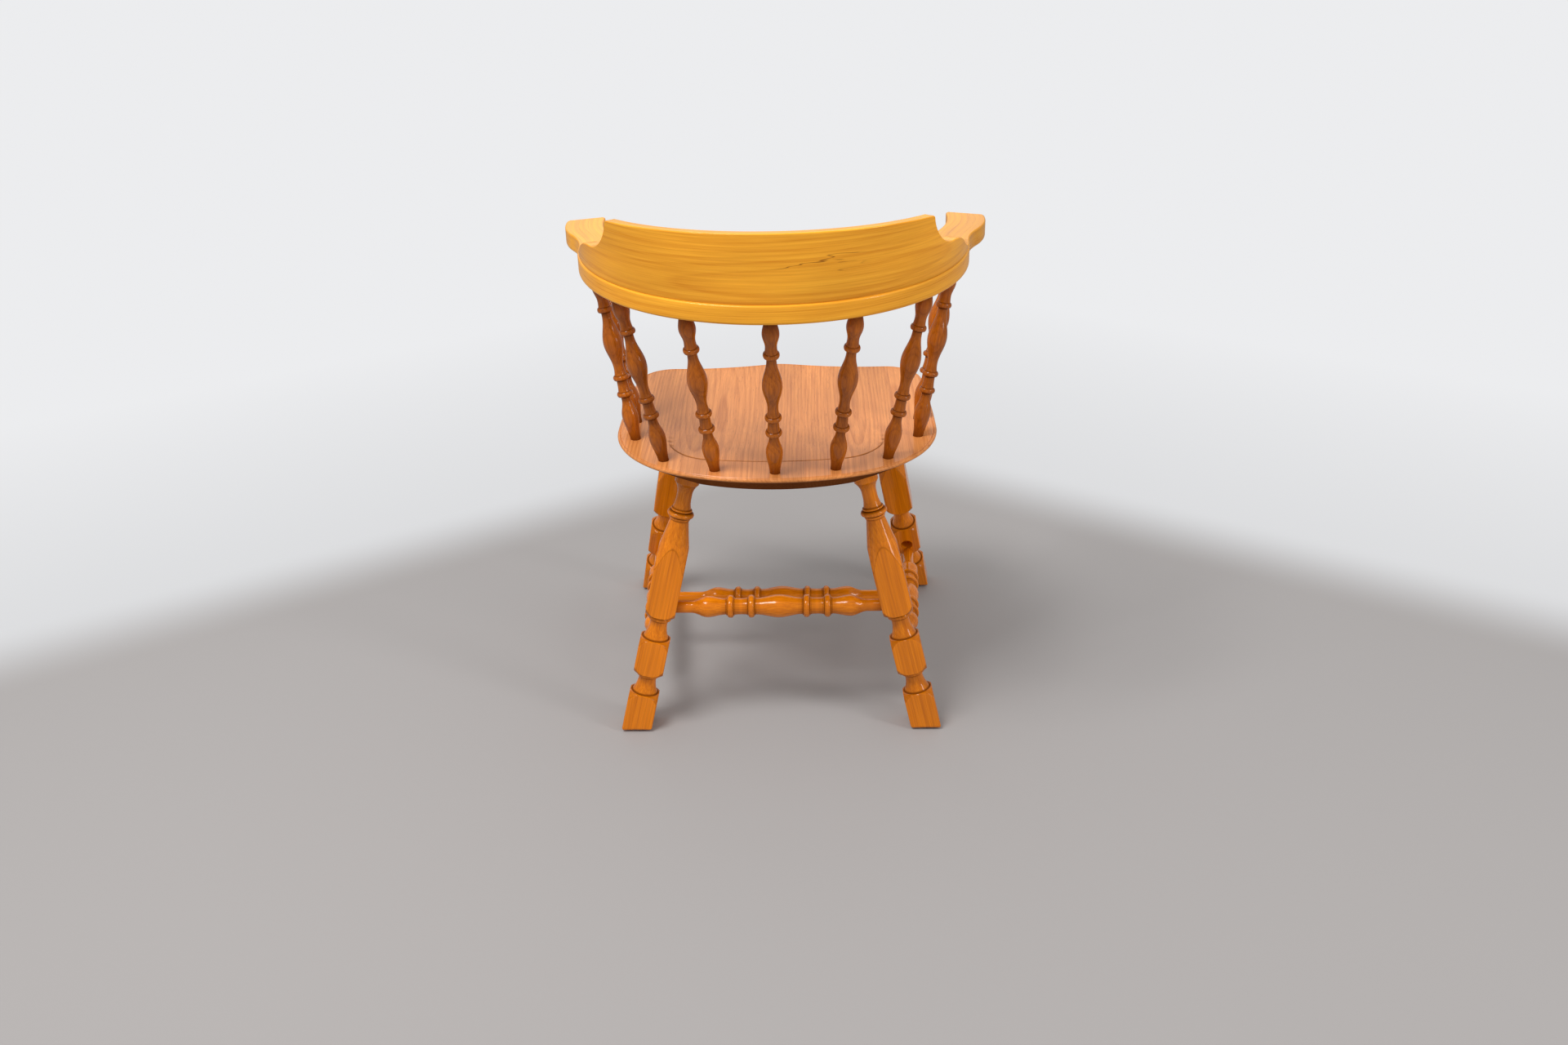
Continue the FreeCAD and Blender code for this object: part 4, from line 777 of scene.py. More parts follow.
def seat_surface():
    """Rings of the whole seat from the middle of its top over the rim to the middle of its underside."""
    chair = sizes()
    plan = seat_plan() / MM
    count = len(plan)
    tangent = np.roll(plan, -1, axis=0) - np.roll(plan, 1, axis=0)
    tangent /= np.linalg.norm(tangent, axis=1)[:, None]
    inward = np.stack([tangent[:, 1], -tangent[:, 0]], axis=-1)
    centre = np.array([0.0, -chair.seat_depth / MM / 2])
    inward *= np.sign(((centre - plan) * inward).sum(axis=1))[:, None]
    rings = []

    def add(flat, height):
        level = np.broadcast_to(np.asarray(height, dtype=float).reshape(-1, 1), (count, 1))
        rings.append(np.concatenate([flat, level], axis=1))

    shoulder = plan + inward * RIM_START
    way = shoulder - centre
    reach = np.linalg.norm(way, axis=1)
    lean = -((way / reach[:, None]) * inward).sum(axis=1)
    line_share = np.clip(1 - LINE_INSET / (reach * np.maximum(lean, 0.5)), 0.3, 0.9)
    band = LINE_BAND / reach
    shares = [(line_share - band) * step for step in np.linspace(0.02, 1.0, 34)]
    shares += [line_share + band * step for step in np.linspace(-0.94, 1.0, 34)]
    shares += [line_share + band + (1 - line_share - band) * step for step in np.linspace(0.06, 1.0, 16)]
    for share in shares:
        flat = centre + way * share[:, None]
        add(flat, -seat_hollow(flat[:, 0], -flat[:, 1]))
    edge_depth = seat_hollow(plan[:, 0], -plan[:, 1])
    for inset, height in RIM:
        add(plan + inward * inset, height - edge_depth)
    bevel = chair.seat_bevel_in / MM
    thick = chair.seat_thickness / MM
    lip = chair.seat_lip / MM
    for share in (0.06, 0.15, 0.3, 0.5, 0.7, 0.85, 0.94):
        drop = lip + (thick - lip) * share
        blend = edge_depth * (1 - share)
        add(plan + inward * bevel * share, -drop - blend)
    add(plan + inward * bevel, -thick)
    base = plan + inward * (bevel + 1.5)
    for share in (1.0, 0.8, 0.55, 0.3, 0.1):
        add(centre + (base - centre) * share, -thick)
    return np.array(rings)


def board_edges():
    chair = sizes()
    wide = chair.seat_half_width + 0.01
    return [-wide] + [chair.joint_at + step * chair.board_width for step in (-1, 0, 1)] + [wide]


# Where each board's pith lies: beside the board's middle and below its top, in metres.
PITH_ASIDE = (0.03, -0.012, 0.055, -0.05)
PITH_BELOW = (0.045, 0.03, 0.06, 0.038)


def make_seat():
    """Four glued boards, cut from one shaped seat at the joints."""
    rings = seat_surface()
    verts, faces = skin(rings)
    verts = np.array(verts) * MM
    edges = board_edges()
    for number, name in enumerate(BOARDS):
        pith = (edges[number] + edges[number + 1]) / 2 + PITH_ASIDE[number]
        grain = np.stack([verts[:, 0] - pith, verts[:, 2] + PITH_BELOW[number],
                          verts[:, 1] + 0.6 * number], axis=-1)
        # Painted shade: the underside and its bevel go fully dark below the lip, and a thin dark line follows
        # the carved line, fading out at its front end.
        below = -verts[:, 2] / MM - np.maximum(0.0, seat_hollow(verts[:, 0] / MM, -verts[:, 1] / MM))
        line = deck_line_distance(verts[:, 0] / MM, -verts[:, 1] / MM)
        carved = 0.8 * np.exp(-(line / 1.5) ** 2) * np.clip((LINE_END + verts[:, 1] / MM) / 30.0, 0.0, 1.0)
        shade = np.where(below > 3.0, np.clip((below - 4.0) / 2.0, 0.0, 1.0), carved)
        whole = add_object(name, seat_frame(), verts, faces, grain, shade)
        split_board(whole, edges[number], edges[number + 1])
        settle(whole, "seat lacquer", "seat_wood", name)


def split_board(piece, low, high):
    """Keeps what lies between two upright planes and closes the cuts."""
    work = bmesh.new()
    work.from_mesh(piece.data)
    for place, side in ((low, -1), (high, 1)):
        geometry = work.verts[:] + work.edges[:] + work.faces[:]
        cut = bmesh.ops.bisect_plane(work, geom=geometry, plane_co=(place, 0, 0), plane_no=(side, 0, 0),
                                     clear_outer=True, dist=1e-6)
        rim = [item for item in cut["geom_cut"] if isinstance(item, bmesh.types.BMEdge)]
        if rim:
            bmesh.ops.edgeloop_fill(work, edges=rim)
    bmesh.ops.recalc_face_normals(work, faces=work.faces)
    work.to_mesh(piece.data)
    work.free()
    piece.data.set_sharp_from_angle(angle=SMOOTH_ANGLE)


# Arms and crest.

def double_bend(start, heading, finish):
    """Turn at the middle and radius of a double bend from start at heading to finish, straight ahead."""
    across = finish[0] - start[0]
    forward = start[1] - finish[1]
    low, high = heading + 1e-4, math.radians(80)
    for _ in range(60):
        turn = (low + high) / 2
        ratio = (1 + math.cos(heading) - 2 * math.cos(turn)) / (2 * math.sin(turn) - math.sin(heading))
        low, high = (turn, high) if ratio < across / forward else (low, turn)
    bend = forward / (2 * math.sin(turn) - math.sin(heading))
    return turn, bend


def arm_side(radius, theta, reach, forward, tip):
    """One edge of the left arm from the rear joint to the tip, evenly spaced, in millimetres."""
    heading = math.pi / 2 - theta
    start = (radius * math.sin(theta), radius * math.cos(theta))
    turn, bend = double_bend(start, heading, (reach, -forward))
    path = [(radius * math.sin(a), radius * math.cos(a)) for a in np.linspace(0, theta, 90)]
    for a in np.linspace(heading, turn, 20)[1:]:
        path.append((start[0] + bend * (math.cos(heading) - math.cos(a)),
                     start[1] - bend * (math.sin(a) - math.sin(heading))))
    middle = path[-1]
    for a in np.linspace(turn, 0, 20)[1:]:
        path.append((middle[0] + bend * (math.cos(a) - math.cos(turn)),
                     middle[1] - bend * (math.sin(turn) - math.sin(a))))
    path.append((reach, -tip))
    path = np.array(path)
    run = running_length(path)
    even = np.linspace(0, run[-1], 170)
    return np.stack([np.interp(even, run, path[:, 0]), np.interp(even, run, path[:, 1])], axis=-1)


def rounded_section(width, thick, round_top, round_low):
    """Closed section across an arm: x from 0 at the outer edge to width, z from 0 to thick."""
    points = []

    def corner(cx, cz, radius, first, last):
        for a in np.linspace(first, last, 7):
            points.append((cx + radius * math.cos(a), cz + radius * math.sin(a)))

    corner(width - round_top, thick - round_top, round_top, 0, math.pi / 2)
    corner(round_top, thick - round_top, round_top, math.pi / 2, math.pi)
    corner(round_low, round_low, round_low, math.pi, 1.5 * math.pi)
    corner(width - round_low, round_low, round_low, 1.5 * math.pi, 2 * math.pi)
    return np.array(points)


def subdivided(section, spacing=4.0, most=8):
    """The section with extra points on its flat stretches, so that it shades evenly."""
    result = []
    for index, point in enumerate(section):
        after = section[(index + 1) % len(section)]
        result.append(point)
        gap = np.linalg.norm(after - point)
        extra = min(most, int(gap / spacing))
        for step in range(1, extra + 1):
            result.append(point + (after - point) * step / (extra + 1))
    return np.array(result)


# Where the planks of the arms and of the crest were cut, in metres.
ARM_PLANK = (0.01, 0.05, 0.7)
CREST_PLANK = (-0.035, 0.075, 1.3)


def make_arm(name, side):
    """One half of the bow: a rounded section carried along the arm, drawn in at the tip."""
    chair = sizes()
    thick = chair.arm_thickness / MM
    outer = arm_side(chair.arm_outer / MM, chair.arm_outer_turn, chair.hand_outer / MM,
                     chair.hand_outer_bend / MM, chair.hand_outer_tip / MM)
    inner = arm_side(chair.arm_inner / MM, chair.arm_inner_turn, chair.hand_inner / MM,
                     chair.hand_inner_bend / MM, chair.hand_inner_tip / MM)
    corner = chair.hand_corner / MM
    edge = chair.arm_low_round / MM
    half = (chair.arm_outer - chair.arm_inner) / MM / 2
    section = subdivided(rounded_section(2 * half, thick, chair.arm_top_round / MM, edge))
    aside = section[:, 0] - half
    inside = np.abs(aside) <= half - edge
    middle = (outer + inner) / 2
    run = running_length(middle)
    rows = []
    grain = []
    for index in range(len(outer)):
        across = inner[index] - outer[index]
        width = np.linalg.norm(across)
        across /= width
        ahead = run[-1] - run[index]
        squeeze = corner - math.sqrt(max(0.0, corner ** 2 - max(0.0, corner - ahead) ** 2))
        sink = edge - math.sqrt(max(0.0, edge ** 2 - max(0.0, edge - ahead) ** 2))
        reach = width / 2 - squeeze
        place = np.where(inside, aside / (half - edge) * (reach - edge),
                         np.sign(aside) * (np.abs(aside) - half + reach))
        height = sink + section[:, 1] / thick * (thick - 2 * sink)
        flat = middle[index] + across[None, :] * place[:, None]
        rows.append(np.stack([side * flat[:, 0], flat[:, 1], height], axis=-1) * MM)
        fibre = np.full(len(place), side * run[index])
        grain.append(np.stack([place, height, fibre], axis=-1) * MM)
    verts, faces = skin(np.array(rows))
    grain = with_poles(np.array(grain)) + np.array(ARM_PLANK)
    piece = add_object(name, bow_frame(), verts, faces, grain, np.zeros(len(verts)))
    settle(piece, "arm lacquer", "bow_wood", name)


def crest_drop(turn):
    """Height of the swept end of the crest above the bow, in millimetres, at a turn from the rear."""
    chair = sizes()
    radius = chair.crest_outer / MM
    hollow = chair.crest_hollow / MM
    shoulder = chair.crest_shoulder / MM
    drop = chair.crest_shoulder_drop / MM
    along = radius * math.sin(turn - chair.crest_hollow_turn)
    corner = radius * math.sin(chair.crest_hollow_turn - chair.crest_corner_turn)
    fall = chair.crest_corner / MM - hollow
    bend = (corner ** 2 + fall ** 2) / (2 * fall)
    if along < 0:
        return hollow + bend - math.sqrt(max(0.0, bend ** 2 - along ** 2))
    shoulder_bend = (shoulder ** 2 + drop ** 2) / (2 * drop)
    if along < shoulder:
        return hollow - shoulder_bend + math.sqrt(shoulder_bend ** 2 - along ** 2)
    end = radius * math.sin(chair.crest_end_turn - chair.crest_hollow_turn)
    tail = end - shoulder
    low = hollow - drop
    tail_bend = (tail ** 2 + low ** 2) / (2 * low)
    return max(0.4, tail_bend - math.sqrt(max(0.0, tail_bend ** 2 - (end - along) ** 2)))


def crest_level(turn):
    """Height of the crest's top edge above the bow at a turn from the rear, in millimetres."""
    chair = sizes()
    y_local = chair.crest_outer * math.cos(turn) - chair.crest_forward
    foot = bow_frame() @ Vector((chair.crest_outer * math.sin(turn), y_local, chair.arm_thickness))
    return (chair.crest_height + (foot.y - chair.seat_rear) * math.tan(chair.crest_fall) - foot.z) / MM


def crest_section(height, full, round_edge):
    """Section of the crest: x outwards from the foot's outer edge, z up."""
    chair = sizes()
    slope = math.tan(chair.crest_lean)
    foot = chair.crest_foot / MM
    thin = foot - (foot - chair.crest_top / MM) * min(1.0, height / full)
    top = height * slope
    side = height - round_edge
    section = [(rise * slope, rise) for rise in np.linspace(0.0, side, 15)]
    for a in np.linspace(0.0, math.pi / 2, 7)[1:]:
        section.append((top - round_edge * (1 - math.cos(a)), side + round_edge * math.sin(a)))
    for share in np.linspace(0.0, 1.0, 6)[1:-1]:
        section.append((top - round_edge - (thin - 2 * round_edge) * share, height))
    for a in np.linspace(math.pi / 2, math.pi, 7):
        section.append((top - thin + round_edge * (1 + math.cos(a)), side + round_edge * math.sin(a)))
    for share in np.linspace(1.0, 0.0, 15)[1:]:
        section.append((side * share * slope - foot + (foot - thin) * share, side * share))
    return np.array(section)


def make_crest():
    """The leaning crest rail: level top, corners, hollow ends that feather out on the arms."""
    chair = sizes()
    end = chair.crest_end_turn
    corner = chair.crest_corner_turn
    hair = 0.004
    turns = np.concatenate([np.linspace(-end, -corner - hair, 110),
                            np.linspace(-corner + hair, corner - hair, 130),
                            np.linspace(corner + hair, end, 110)])
    tilt = math.tan(chair.crest_fall + chair.arm_fall)
    radius = chair.crest_outer / MM
    rows = []
    grain = []
    shades = []
    for turn in turns:
        full = crest_level(abs(turn))
        between = abs(turn) < corner
        height = full if between else min(full, crest_drop(abs(turn)))
        edge = min(chair.crest_edge / MM, height * 0.45)
        section = crest_section(height, full, edge)
        if between:
            inset = section[:, 0].max() - section[:, 0]
            section[:, 1] -= section[:, 1] / height * inset * tilt * math.cos(turn)
        reach = radius + section[:, 0]
        rows.append(np.stack([reach * math.sin(turn), reach * math.cos(turn) - chair.crest_forward / MM,
                              section[:, 1] + chair.arm_thickness / MM], axis=-1) * MM)
        fibre = np.full(len(section), radius * turn)
        grain.append(np.stack([section[:, 1], section[:, 0], fibre], axis=-1) * MM)
        # Painted shade in the corner where the crest stands on the bow, fading out over its lowest 3 mm.
        shades.append(0.4 * np.clip(1 - section[:, 1] / 3.0, 0.0, 1.0))
    verts, faces = skin(np.array(rows))
    grain = with_poles(np.array(grain)) + np.array(CREST_PLANK)
    piece = add_object("crest_rail", bow_frame(), verts, faces, grain, with_poles(np.array(shades)))
    settle(piece, "crest lacquer", "bow_wood", "crest_rail")


# Legs.

# The foot below FOOT_ZONE is drawn in at its lowest edge and trimmed level; all in millimetres.
FOOT_ZONE = 50.0
FOOT_EDGE = 4.6
FOOT_EDGE_TALL = 6.0

# CREASE softens where the turning meets the square stock. Necks thinner than NECK_RADIUS get painted shade in
# their recesses, and so do the turned ends of the square blocks, but not the long taper. In millimetres.
CREASE = 0.18
NECK_RADIUS = 20.5
BLOCK_END_RADII = (20.0, 32.0)
PAINTED_BLOCK_END_SHADE = 0.42
TAPER_FROM = 255.0
TAPER_TO = 345.0


def leg_mesh(name, foot, top, seed):
    """A leg that is the smaller of its turning and its square stock all along its length."""
    chair = sizes()
    lie = lie_between(foot, top)
    span = (top - foot).length / MM
    points = leg_outline(span)
    half = chair.leg_stock / MM / 2
    quarter = np.concatenate([np.linspace(0, 37, 16), np.linspace(38.5, 51.5, 11),
                              np.linspace(53, 90, 16)[:-1]])
    turn = np.radians(np.concatenate([quarter + 90 * k for k in range(4)]))
    square = half / np.maximum(np.abs(np.cos(turn)), np.abs(np.sin(turn)))
    square = np.minimum(square, half * math.sqrt(2) - 1.0)
    z_cos, z_sin, z_up = (lie.col[axis].z for axis in range(3))
    rows = []
    shades = []
    deep = np.maximum(recess(points, *LEG_GROOVE), 0.10 * recess(points, *COVE))
    glide = chair.foot_height / MM
    for (place, radius), dark in zip(points, deep):
        least = np.minimum(radius, square)
        ring = least - CREASE * np.log1p(np.exp(-np.abs(radius - square) / CREASE))
        if place < FOOT_ZONE:
            rise = min(1.0, (place - LEG_START) / FOOT_EDGE_TALL)
            ring = ring - FOOT_EDGE * (1 - math.sqrt(1 - (1 - rise) ** 2))
            low = (glide - (z_cos * np.cos(turn) + z_sin * np.sin(turn)) * ring) / z_up
            along = low + (place - LEG_START) / (FOOT_ZONE - LEG_START) * (FOOT_ZONE - low)
        else:
            along = np.full(len(turn), place)
        rows.append(np.stack([ring * np.cos(turn), ring * np.sin(turn), along], axis=-1) * MM)
        # Painted shade: in the necks' recesses, on the turned ends of the blocks, and a thin dark line where
        # the turning meets the square faces.
        turned = np.clip((square - radius) / 0.5, 0.0, 1.0)
        edge = np.exp(-((square - radius - 0.3) / 0.35) ** 2)
        at_block = BLOCK_END_RADII[0] < radius < BLOCK_END_RADII[1] and not TAPER_FROM < place < TAPER_TO
        block_end = PAINTED_BLOCK_END_SHADE if at_block else 0.0
        neck = dark if radius < NECK_RADIUS else 0.0
        shades.append(np.maximum(neck, np.maximum(turned * block_end, 0.5 * edge)))
    rings = np.array(rows)
    verts, faces = skin(rings)
    grain = with_poles(rings) + plank_offset(seed)
    piece = add_object(name, lie, verts, faces, grain, with_poles(np.array(shades)))
    return piece, lie


# The empty socket's height along the leg and the length of the drill that cuts it, in metres.
SOCKET_UP = 0.115
DRILL_LENGTH = 0.036


def bore_socket(piece, lie):
    """Cuts the empty round socket into the rear face of a leg's middle block."""
    chair = sizes()
    bpy.ops.mesh.primitive_cylinder_add(vertices=48, radius=chair.spare_socket / 2, depth=DRILL_LENGTH)
    drill = bpy.context.object
    spot = lie @ Vector((0, chair.leg_stock / 2, SOCKET_UP))
    across = lie.to_3x3().to_4x4() @ Matrix.Rotation(math.radians(90), 4, "X")
    drill.matrix_world = Matrix.Translation(spot) @ across
    cutter = piece.modifiers.new("socket", "BOOLEAN")
    cutter.operation = "DIFFERENCE"
    cutter.solver = "EXACT"
    cutter.object = drill
    apply_modifiers(piece)
    bpy.data.objects.remove(drill)


# Repeated uprights by Geometry Nodes: one turned pattern set out on the feet of the row.

def row_tree():
    """Sets a turned pattern on every point of a row, aims it along way and sizes it by girth and stretch."""
    tree = bpy.data.node_groups.new("Row of turnings", "GeometryNodeTree")
    face = tree.interface
    face.new_socket("Geometry", in_out="INPUT", socket_type="NodeSocketGeometry")
    face.new_socket("Pattern", in_out="INPUT", socket_type="NodeSocketObject")
    girth = face.new_socket("Girth", in_out="INPUT", socket_type="NodeSocketFloat")
    girth.default_value = 1.0
    face.new_socket("Finish", in_out="INPUT", socket_type="NodeSocketMaterial")
    face.new_socket("Geometry", in_out="OUTPUT", socket_type="NodeSocketGeometry")
    source = node(tree, "NodeGroupInput", (0, 0))
    result = node(tree, "NodeGroupOutput", (9, 0))
    way = node(tree, "GeometryNodeInputNamedAttribute", (0, 3), data_type="FLOAT_VECTOR")
    way.inputs["Name"].default_value = "way"
    stretch = node(tree, "GeometryNodeInputNamedAttribute", (0, 5), data_type="FLOAT")
    stretch.inputs["Name"].default_value = "stretch"
    aim = node(tree, "FunctionNodeAlignRotationToVector", (2, 3), axis="Z")
    link(tree, way.outputs[0], aim.inputs["Vector"])
    pattern = node(tree, "GeometryNodeObjectInfo", (1, 1))
    link(tree, source.outputs["Pattern"], pattern.inputs["Object"])
    scale = node(tree, "ShaderNodeCombineXYZ", (3, 5))
    link(tree, source.outputs["Girth"], scale.inputs[0])
    link(tree, source.outputs["Girth"], scale.inputs[1])
    link(tree, stretch.outputs[0], scale.inputs[2])
    place = node(tree, "GeometryNodeInstanceOnPoints", (4, 0))
    link(tree, source.outputs["Geometry"], place.inputs["Points"])
    link(tree, pattern.outputs["Geometry"], place.inputs["Instance"])
    link(tree, aim.outputs[0], place.inputs["Rotation"])
    link(tree, scale.outputs[0], place.inputs["Scale"])
    index = node(tree, "GeometryNodeInputIndex", (4, 3))
    mark = node(tree, "GeometryNodeStoreNamedAttribute", (5, 0), data_type="FLOAT", domain="INSTANCE")
    mark.inputs["Name"].default_value = "member"
    link(tree, place.outputs[0], mark.inputs["Geometry"])
    link(tree, index.outputs[0], mark.inputs["Value"])
    real = node(tree, "GeometryNodeRealizeInstances", (6, 0))
    link(tree, mark.outputs[0], real.inputs["Geometry"])
    finish = node(tree, "GeometryNodeSetMaterial", (8, 0))
    link(tree, real.outputs[0], finish.inputs["Geometry"])
    link(tree, source.outputs["Finish"], finish.inputs["Material"])
    link(tree, finish.outputs[0], result.inputs["Geometry"])
    return tree


def make_row(name, nodes, girth, finish):
    """One mesh with a turned upright for each of the CAD nodes."""
    seat = seat_frame()
    bow = bow_frame()
    starts = []
    ways = []
    spans = []
    for item in nodes:
        low, high = cad_axis(item)
        foot = meet(low, high, seat)
        top = meet(low, high, bow)
        starts.append(foot)
        ways.append((top - foot).normalized())
        spans.append((top - foot).length / MM)
    pattern = lathe(name + "_pattern", upright_outline(UPRIGHT_SPAN), Matrix.Identity(4), sizes().segments,
                    len(nodes), (0.0, UPRIGHT_SPAN))
    guide = bpy.data.meshes.new(name)
    guide.from_pydata([tuple(v) for v in starts], [], [])
    way = guide.attributes.new("way", "FLOAT_VECTOR", "POINT")
    way.data.foreach_set("vector", np.array([tuple(v) for v in ways], dtype=np.float32).ravel())
    stretch = guide.attributes.new("stretch", "FLOAT", "POINT")
    stretch.data.foreach_set("value", np.array([span / UPRIGHT_SPAN for span in spans], dtype=np.float32))
    row = bpy.data.objects.new(name, guide)
    bpy.context.scene.collection.objects.link(row)
    tree = bpy.data.node_groups.get("Row of turnings") or row_tree()
    modifier = row.modifiers.new("row", "NODES")
    modifier.node_group = tree
    keys = {item.name: item.identifier for item in tree.interface.items_tree if item.in_out == "INPUT"}
    modifier[keys["Pattern"]] = pattern
    modifier[keys["Girth"]] = girth
    modifier[keys["Finish"]] = finish_material(finish)
    apply_modifiers(row)
    bpy.data.objects.remove(pattern)
    shift_members(row.data)
    settle(row, finish, "frame_wood", *nodes)


def shift_members(mesh):
    """Moves each member of a row to its own place in the wood."""
    count = len(mesh.vertices)
    member = np.zeros(count, dtype=np.float32)
    mesh.attributes["member"].data.foreach_get("value", member)
    grain = np.zeros(count * 3, dtype=np.float32)
    mesh.attributes["grain"].data.foreach_get("vector", grain)
    grain = grain.reshape(-1, 3)
    grain[:, 0] += 0.007 * np.sin(member * 2.1)
    grain[:, 1] += 0.009 * np.cos(member * 1.3)
    grain[:, 2] += member * 0.41
    mesh.attributes["grain"].data.foreach_set("vector", grain.ravel())


# Operators, one for each group of pieces.

class CHAIR_OT_seat(Operator):
    """Shape the dished seat and cut it into its glued boards"""
    bl_idname = "chair.seat"
    bl_label = "Seat"

    def execute(self, context):
        make_seat()
        return {"FINISHED"}


class CHAIR_OT_arms(Operator):
    """Bend the two arms of the bow"""
    bl_idname = "chair.arms"
    bl_label = "Arms"

    def execute(self, context):
        make_arm("left_arm", 1)
        make_arm("right_arm", -1)
        return {"FINISHED"}


class CHAIR_OT_crest(Operator):
    """Shape the crest rail with its swept ends"""
    bl_idname = "chair.crest"
    bl_label = "Crest Rail"

    def execute(self, context):
        make_crest()
        return {"FINISHED"}


class CHAIR_OT_uprights(Operator):
    """Turn the spindles and the arm posts"""
    bl_idname = "chair.uprights"
    bl_label = "Spindles and Posts"

    def execute(self, context):
        make_row("back_spindles", SPINDLES, 1.0, "spindle lacquer")
        make_row("arm_posts", POSTS, 1.1, "spindle lacquer")
        return {"FINISHED"}


class CHAIR_OT_legs(Operator):
    """Turn the four legs out of their square stock"""
    bl_idname = "chair.legs"
    bl_label = "Legs"

    def execute(self, context):
        chair = sizes()
        seed = 10
        for kind in ("rear", "front"):
            for word, side in (("left", 1), ("right", -1)):
                foot = Vector(getattr(chair, kind + "_foot"))
                top = Vector(getattr(chair, kind + "_top"))
                foot.x *= side
                top.x *= side
                name = f"{kind}_{word}_leg"
                piece, lie = leg_mesh(name, foot, top, seed)
                if name == "front_right_leg":
                    bore_socket(piece, lie)
                settle(piece, "turned lacquer", "frame_wood", name)
                seed += 1
        return {"FINISHED"}


STRETCHERS = ("rear_stretcher", "centre_stretcher", "left_side_stretcher", "right_side_stretcher")
STRETCHER_TENON = 8.0


class CHAIR_OT_stretchers(Operator):
    """Turn the four stretchers"""
    bl_idname = "chair.stretchers"
    bl_label = "Stretchers"

    def execute(self, context):
        for seed, name in enumerate(STRETCHERS, start=20):
            start, finish = cad_axis(name)
            middle = (start + finish) / 2
            way = (finish - start).normalized()
            span = (finish - start).length / MM
            lie = Matrix.Translation(middle) @ way.to_track_quat("Z", "Y").to_matrix().to_4x4()
            ends = (-span / 2 + STRETCHER_TENON, span / 2 - STRETCHER_TENON)
            piece = lathe(name, stretcher_outline(span), lie, context.scene.chair_sizes.segments, seed, ends)
            settle(piece, "turned lacquer", "frame_wood", name)
        return {"FINISHED"}


# A glide's rounded lower edge: height and how far it lies inside the full radius, in millimetres.
GLIDE_EDGE = ((0.0, 1.6), (0.3, 0.7), (0.9, 0.15), (1.5, 0.0))


class CHAIR_OT_glides(Operator):
    """Put the glides under the feet"""
    bl_idname = "chair.glides"
    bl_label = "Glides"

    def execute(self, context):
        for kind in ("rear", "front"):
            for word in ("left", "right"):
                name = f"{kind}_{word}_glide"
                low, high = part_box(name)
                centre = (low + high) / 2
                radius = (high.x - low.x) / 2 / MM
                tall = (high.z - low.z) / MM
                outline = [(rise, radius - inset) for rise, inset in GLIDE_EDGE] + [(tall, radius)]
                lie = Matrix.Translation((centre.x, centre.y, low.z))
                piece = lathe(name, outline, lie, 48, 1)
                settle(piece, "glide", "glide", name)
        return {"FINISHED"}


class CHAIR_OT_stage(Operator):
    """Set up the floor, the light and the camera"""
    bl_idname = "chair.stage"
    bl_label = "Stage"

    def execute(self, context):
        make_floor()
        make_light(context)
        make_camera(context)
        return {"FINISHED"}


# The wall meets the floor in a shallow V beyond the chair: its corner along X, the slant of its sides,
# and where, in metres from the middle, the floor begins to turn into wall and where it has.
WALL_CORNER = -0.05
WALL_SLANT = -0.68
WALL_START = 0.80
WALL_END = 1.10

# The wall is dimmer near the floor and reaches its full brightness further up.
WALL_DIM = 0.84
WALL_DIM_AT = 0.87
WALL_BRIGHT_AT = 2.4


def make_floor():
    """A wide floor that fades, for the camera only, into a pale glowing wall and still takes shadows."""
    bpy.ops.mesh.primitive_plane_add(size=30.0, location=(0, 0, 0))
    floor = bpy.context.object
    floor.name = "studio_floor"
    material = bpy.data.materials.new("studio floor")
    material.use_nodes = True
    tree = material.node_tree
    tree.nodes.clear()
    output = node(tree, "ShaderNodeOutputMaterial", (6, 0))
    tones = bpy.context.scene.chair_colours
    matt = node(tree, "ShaderNodeBsdfDiffuse", (2, 0))
    matt.inputs["Color"].default_value = rgba(tones.floor)
    glow = node(tree, "ShaderNodeEmission", (2, 2))
    glow.inputs["Color"].default_value = rgba(tones.wall)
    coords = node(tree, "ShaderNodeTexCoord", (-2, 3))
    parts = node(tree, "ShaderNodeSeparateXYZ", (-1, 3))
    link(tree, coords.outputs["Object"], parts.inputs[0])
    aside = sums(tree, "ABSOLUTE", sums(tree, "ADD", parts.outputs[0], -WALL_CORNER, (0, 4)), None, (1, 4))
    away = sums(tree, "SUBTRACT", sums(tree, "MULTIPLY", parts.outputs[1], -1.0, (0, 3)),
                sums(tree, "MULTIPLY", aside, WALL_SLANT, (2, 4)), (3, 3))
    far = ranged(tree, away, WALL_START, WALL_END, 0.0, 1.0, (4, 3))
    far.node.interpolation_type = "SMOOTHSTEP"
    link(tree, ranged(tree, away, WALL_DIM_AT, WALL_BRIGHT_AT, WALL_DIM, 1.0, (1, 2)),
         glow.inputs["Strength"])
    seen = node(tree, "ShaderNodeLightPath", (3, 5))
    blend = node(tree, "ShaderNodeMixShader", (5, 0))
    link(tree, sums(tree, "MULTIPLY", far, seen.outputs["Is Camera Ray"], (4, 4)), blend.inputs[0])
    link(tree, matt.outputs[0], blend.inputs[1])
    link(tree, glow.outputs[0], blend.inputs[2])
    link(tree, blend.outputs[0], output.inputs["Surface"])
    floor.data.materials.append(material)


def area_light(name, place, target, size, power):
    """A rectangular lamp at place that faces target; size is its width and height, power in watts."""
    lamp = bpy.data.lights.new(name, "AREA")
    lamp.shape = "RECTANGLE"
    lamp.size, lamp.size_y = size
    lamp.energy = power
    holder = bpy.data.objects.new(name, lamp)
    holder.location = place
    holder.rotation_euler = (Vector(target) - Vector(place)).to_track_quat("-Z", "Y").to_euler()
    bpy.context.scene.collection.objects.link(holder)


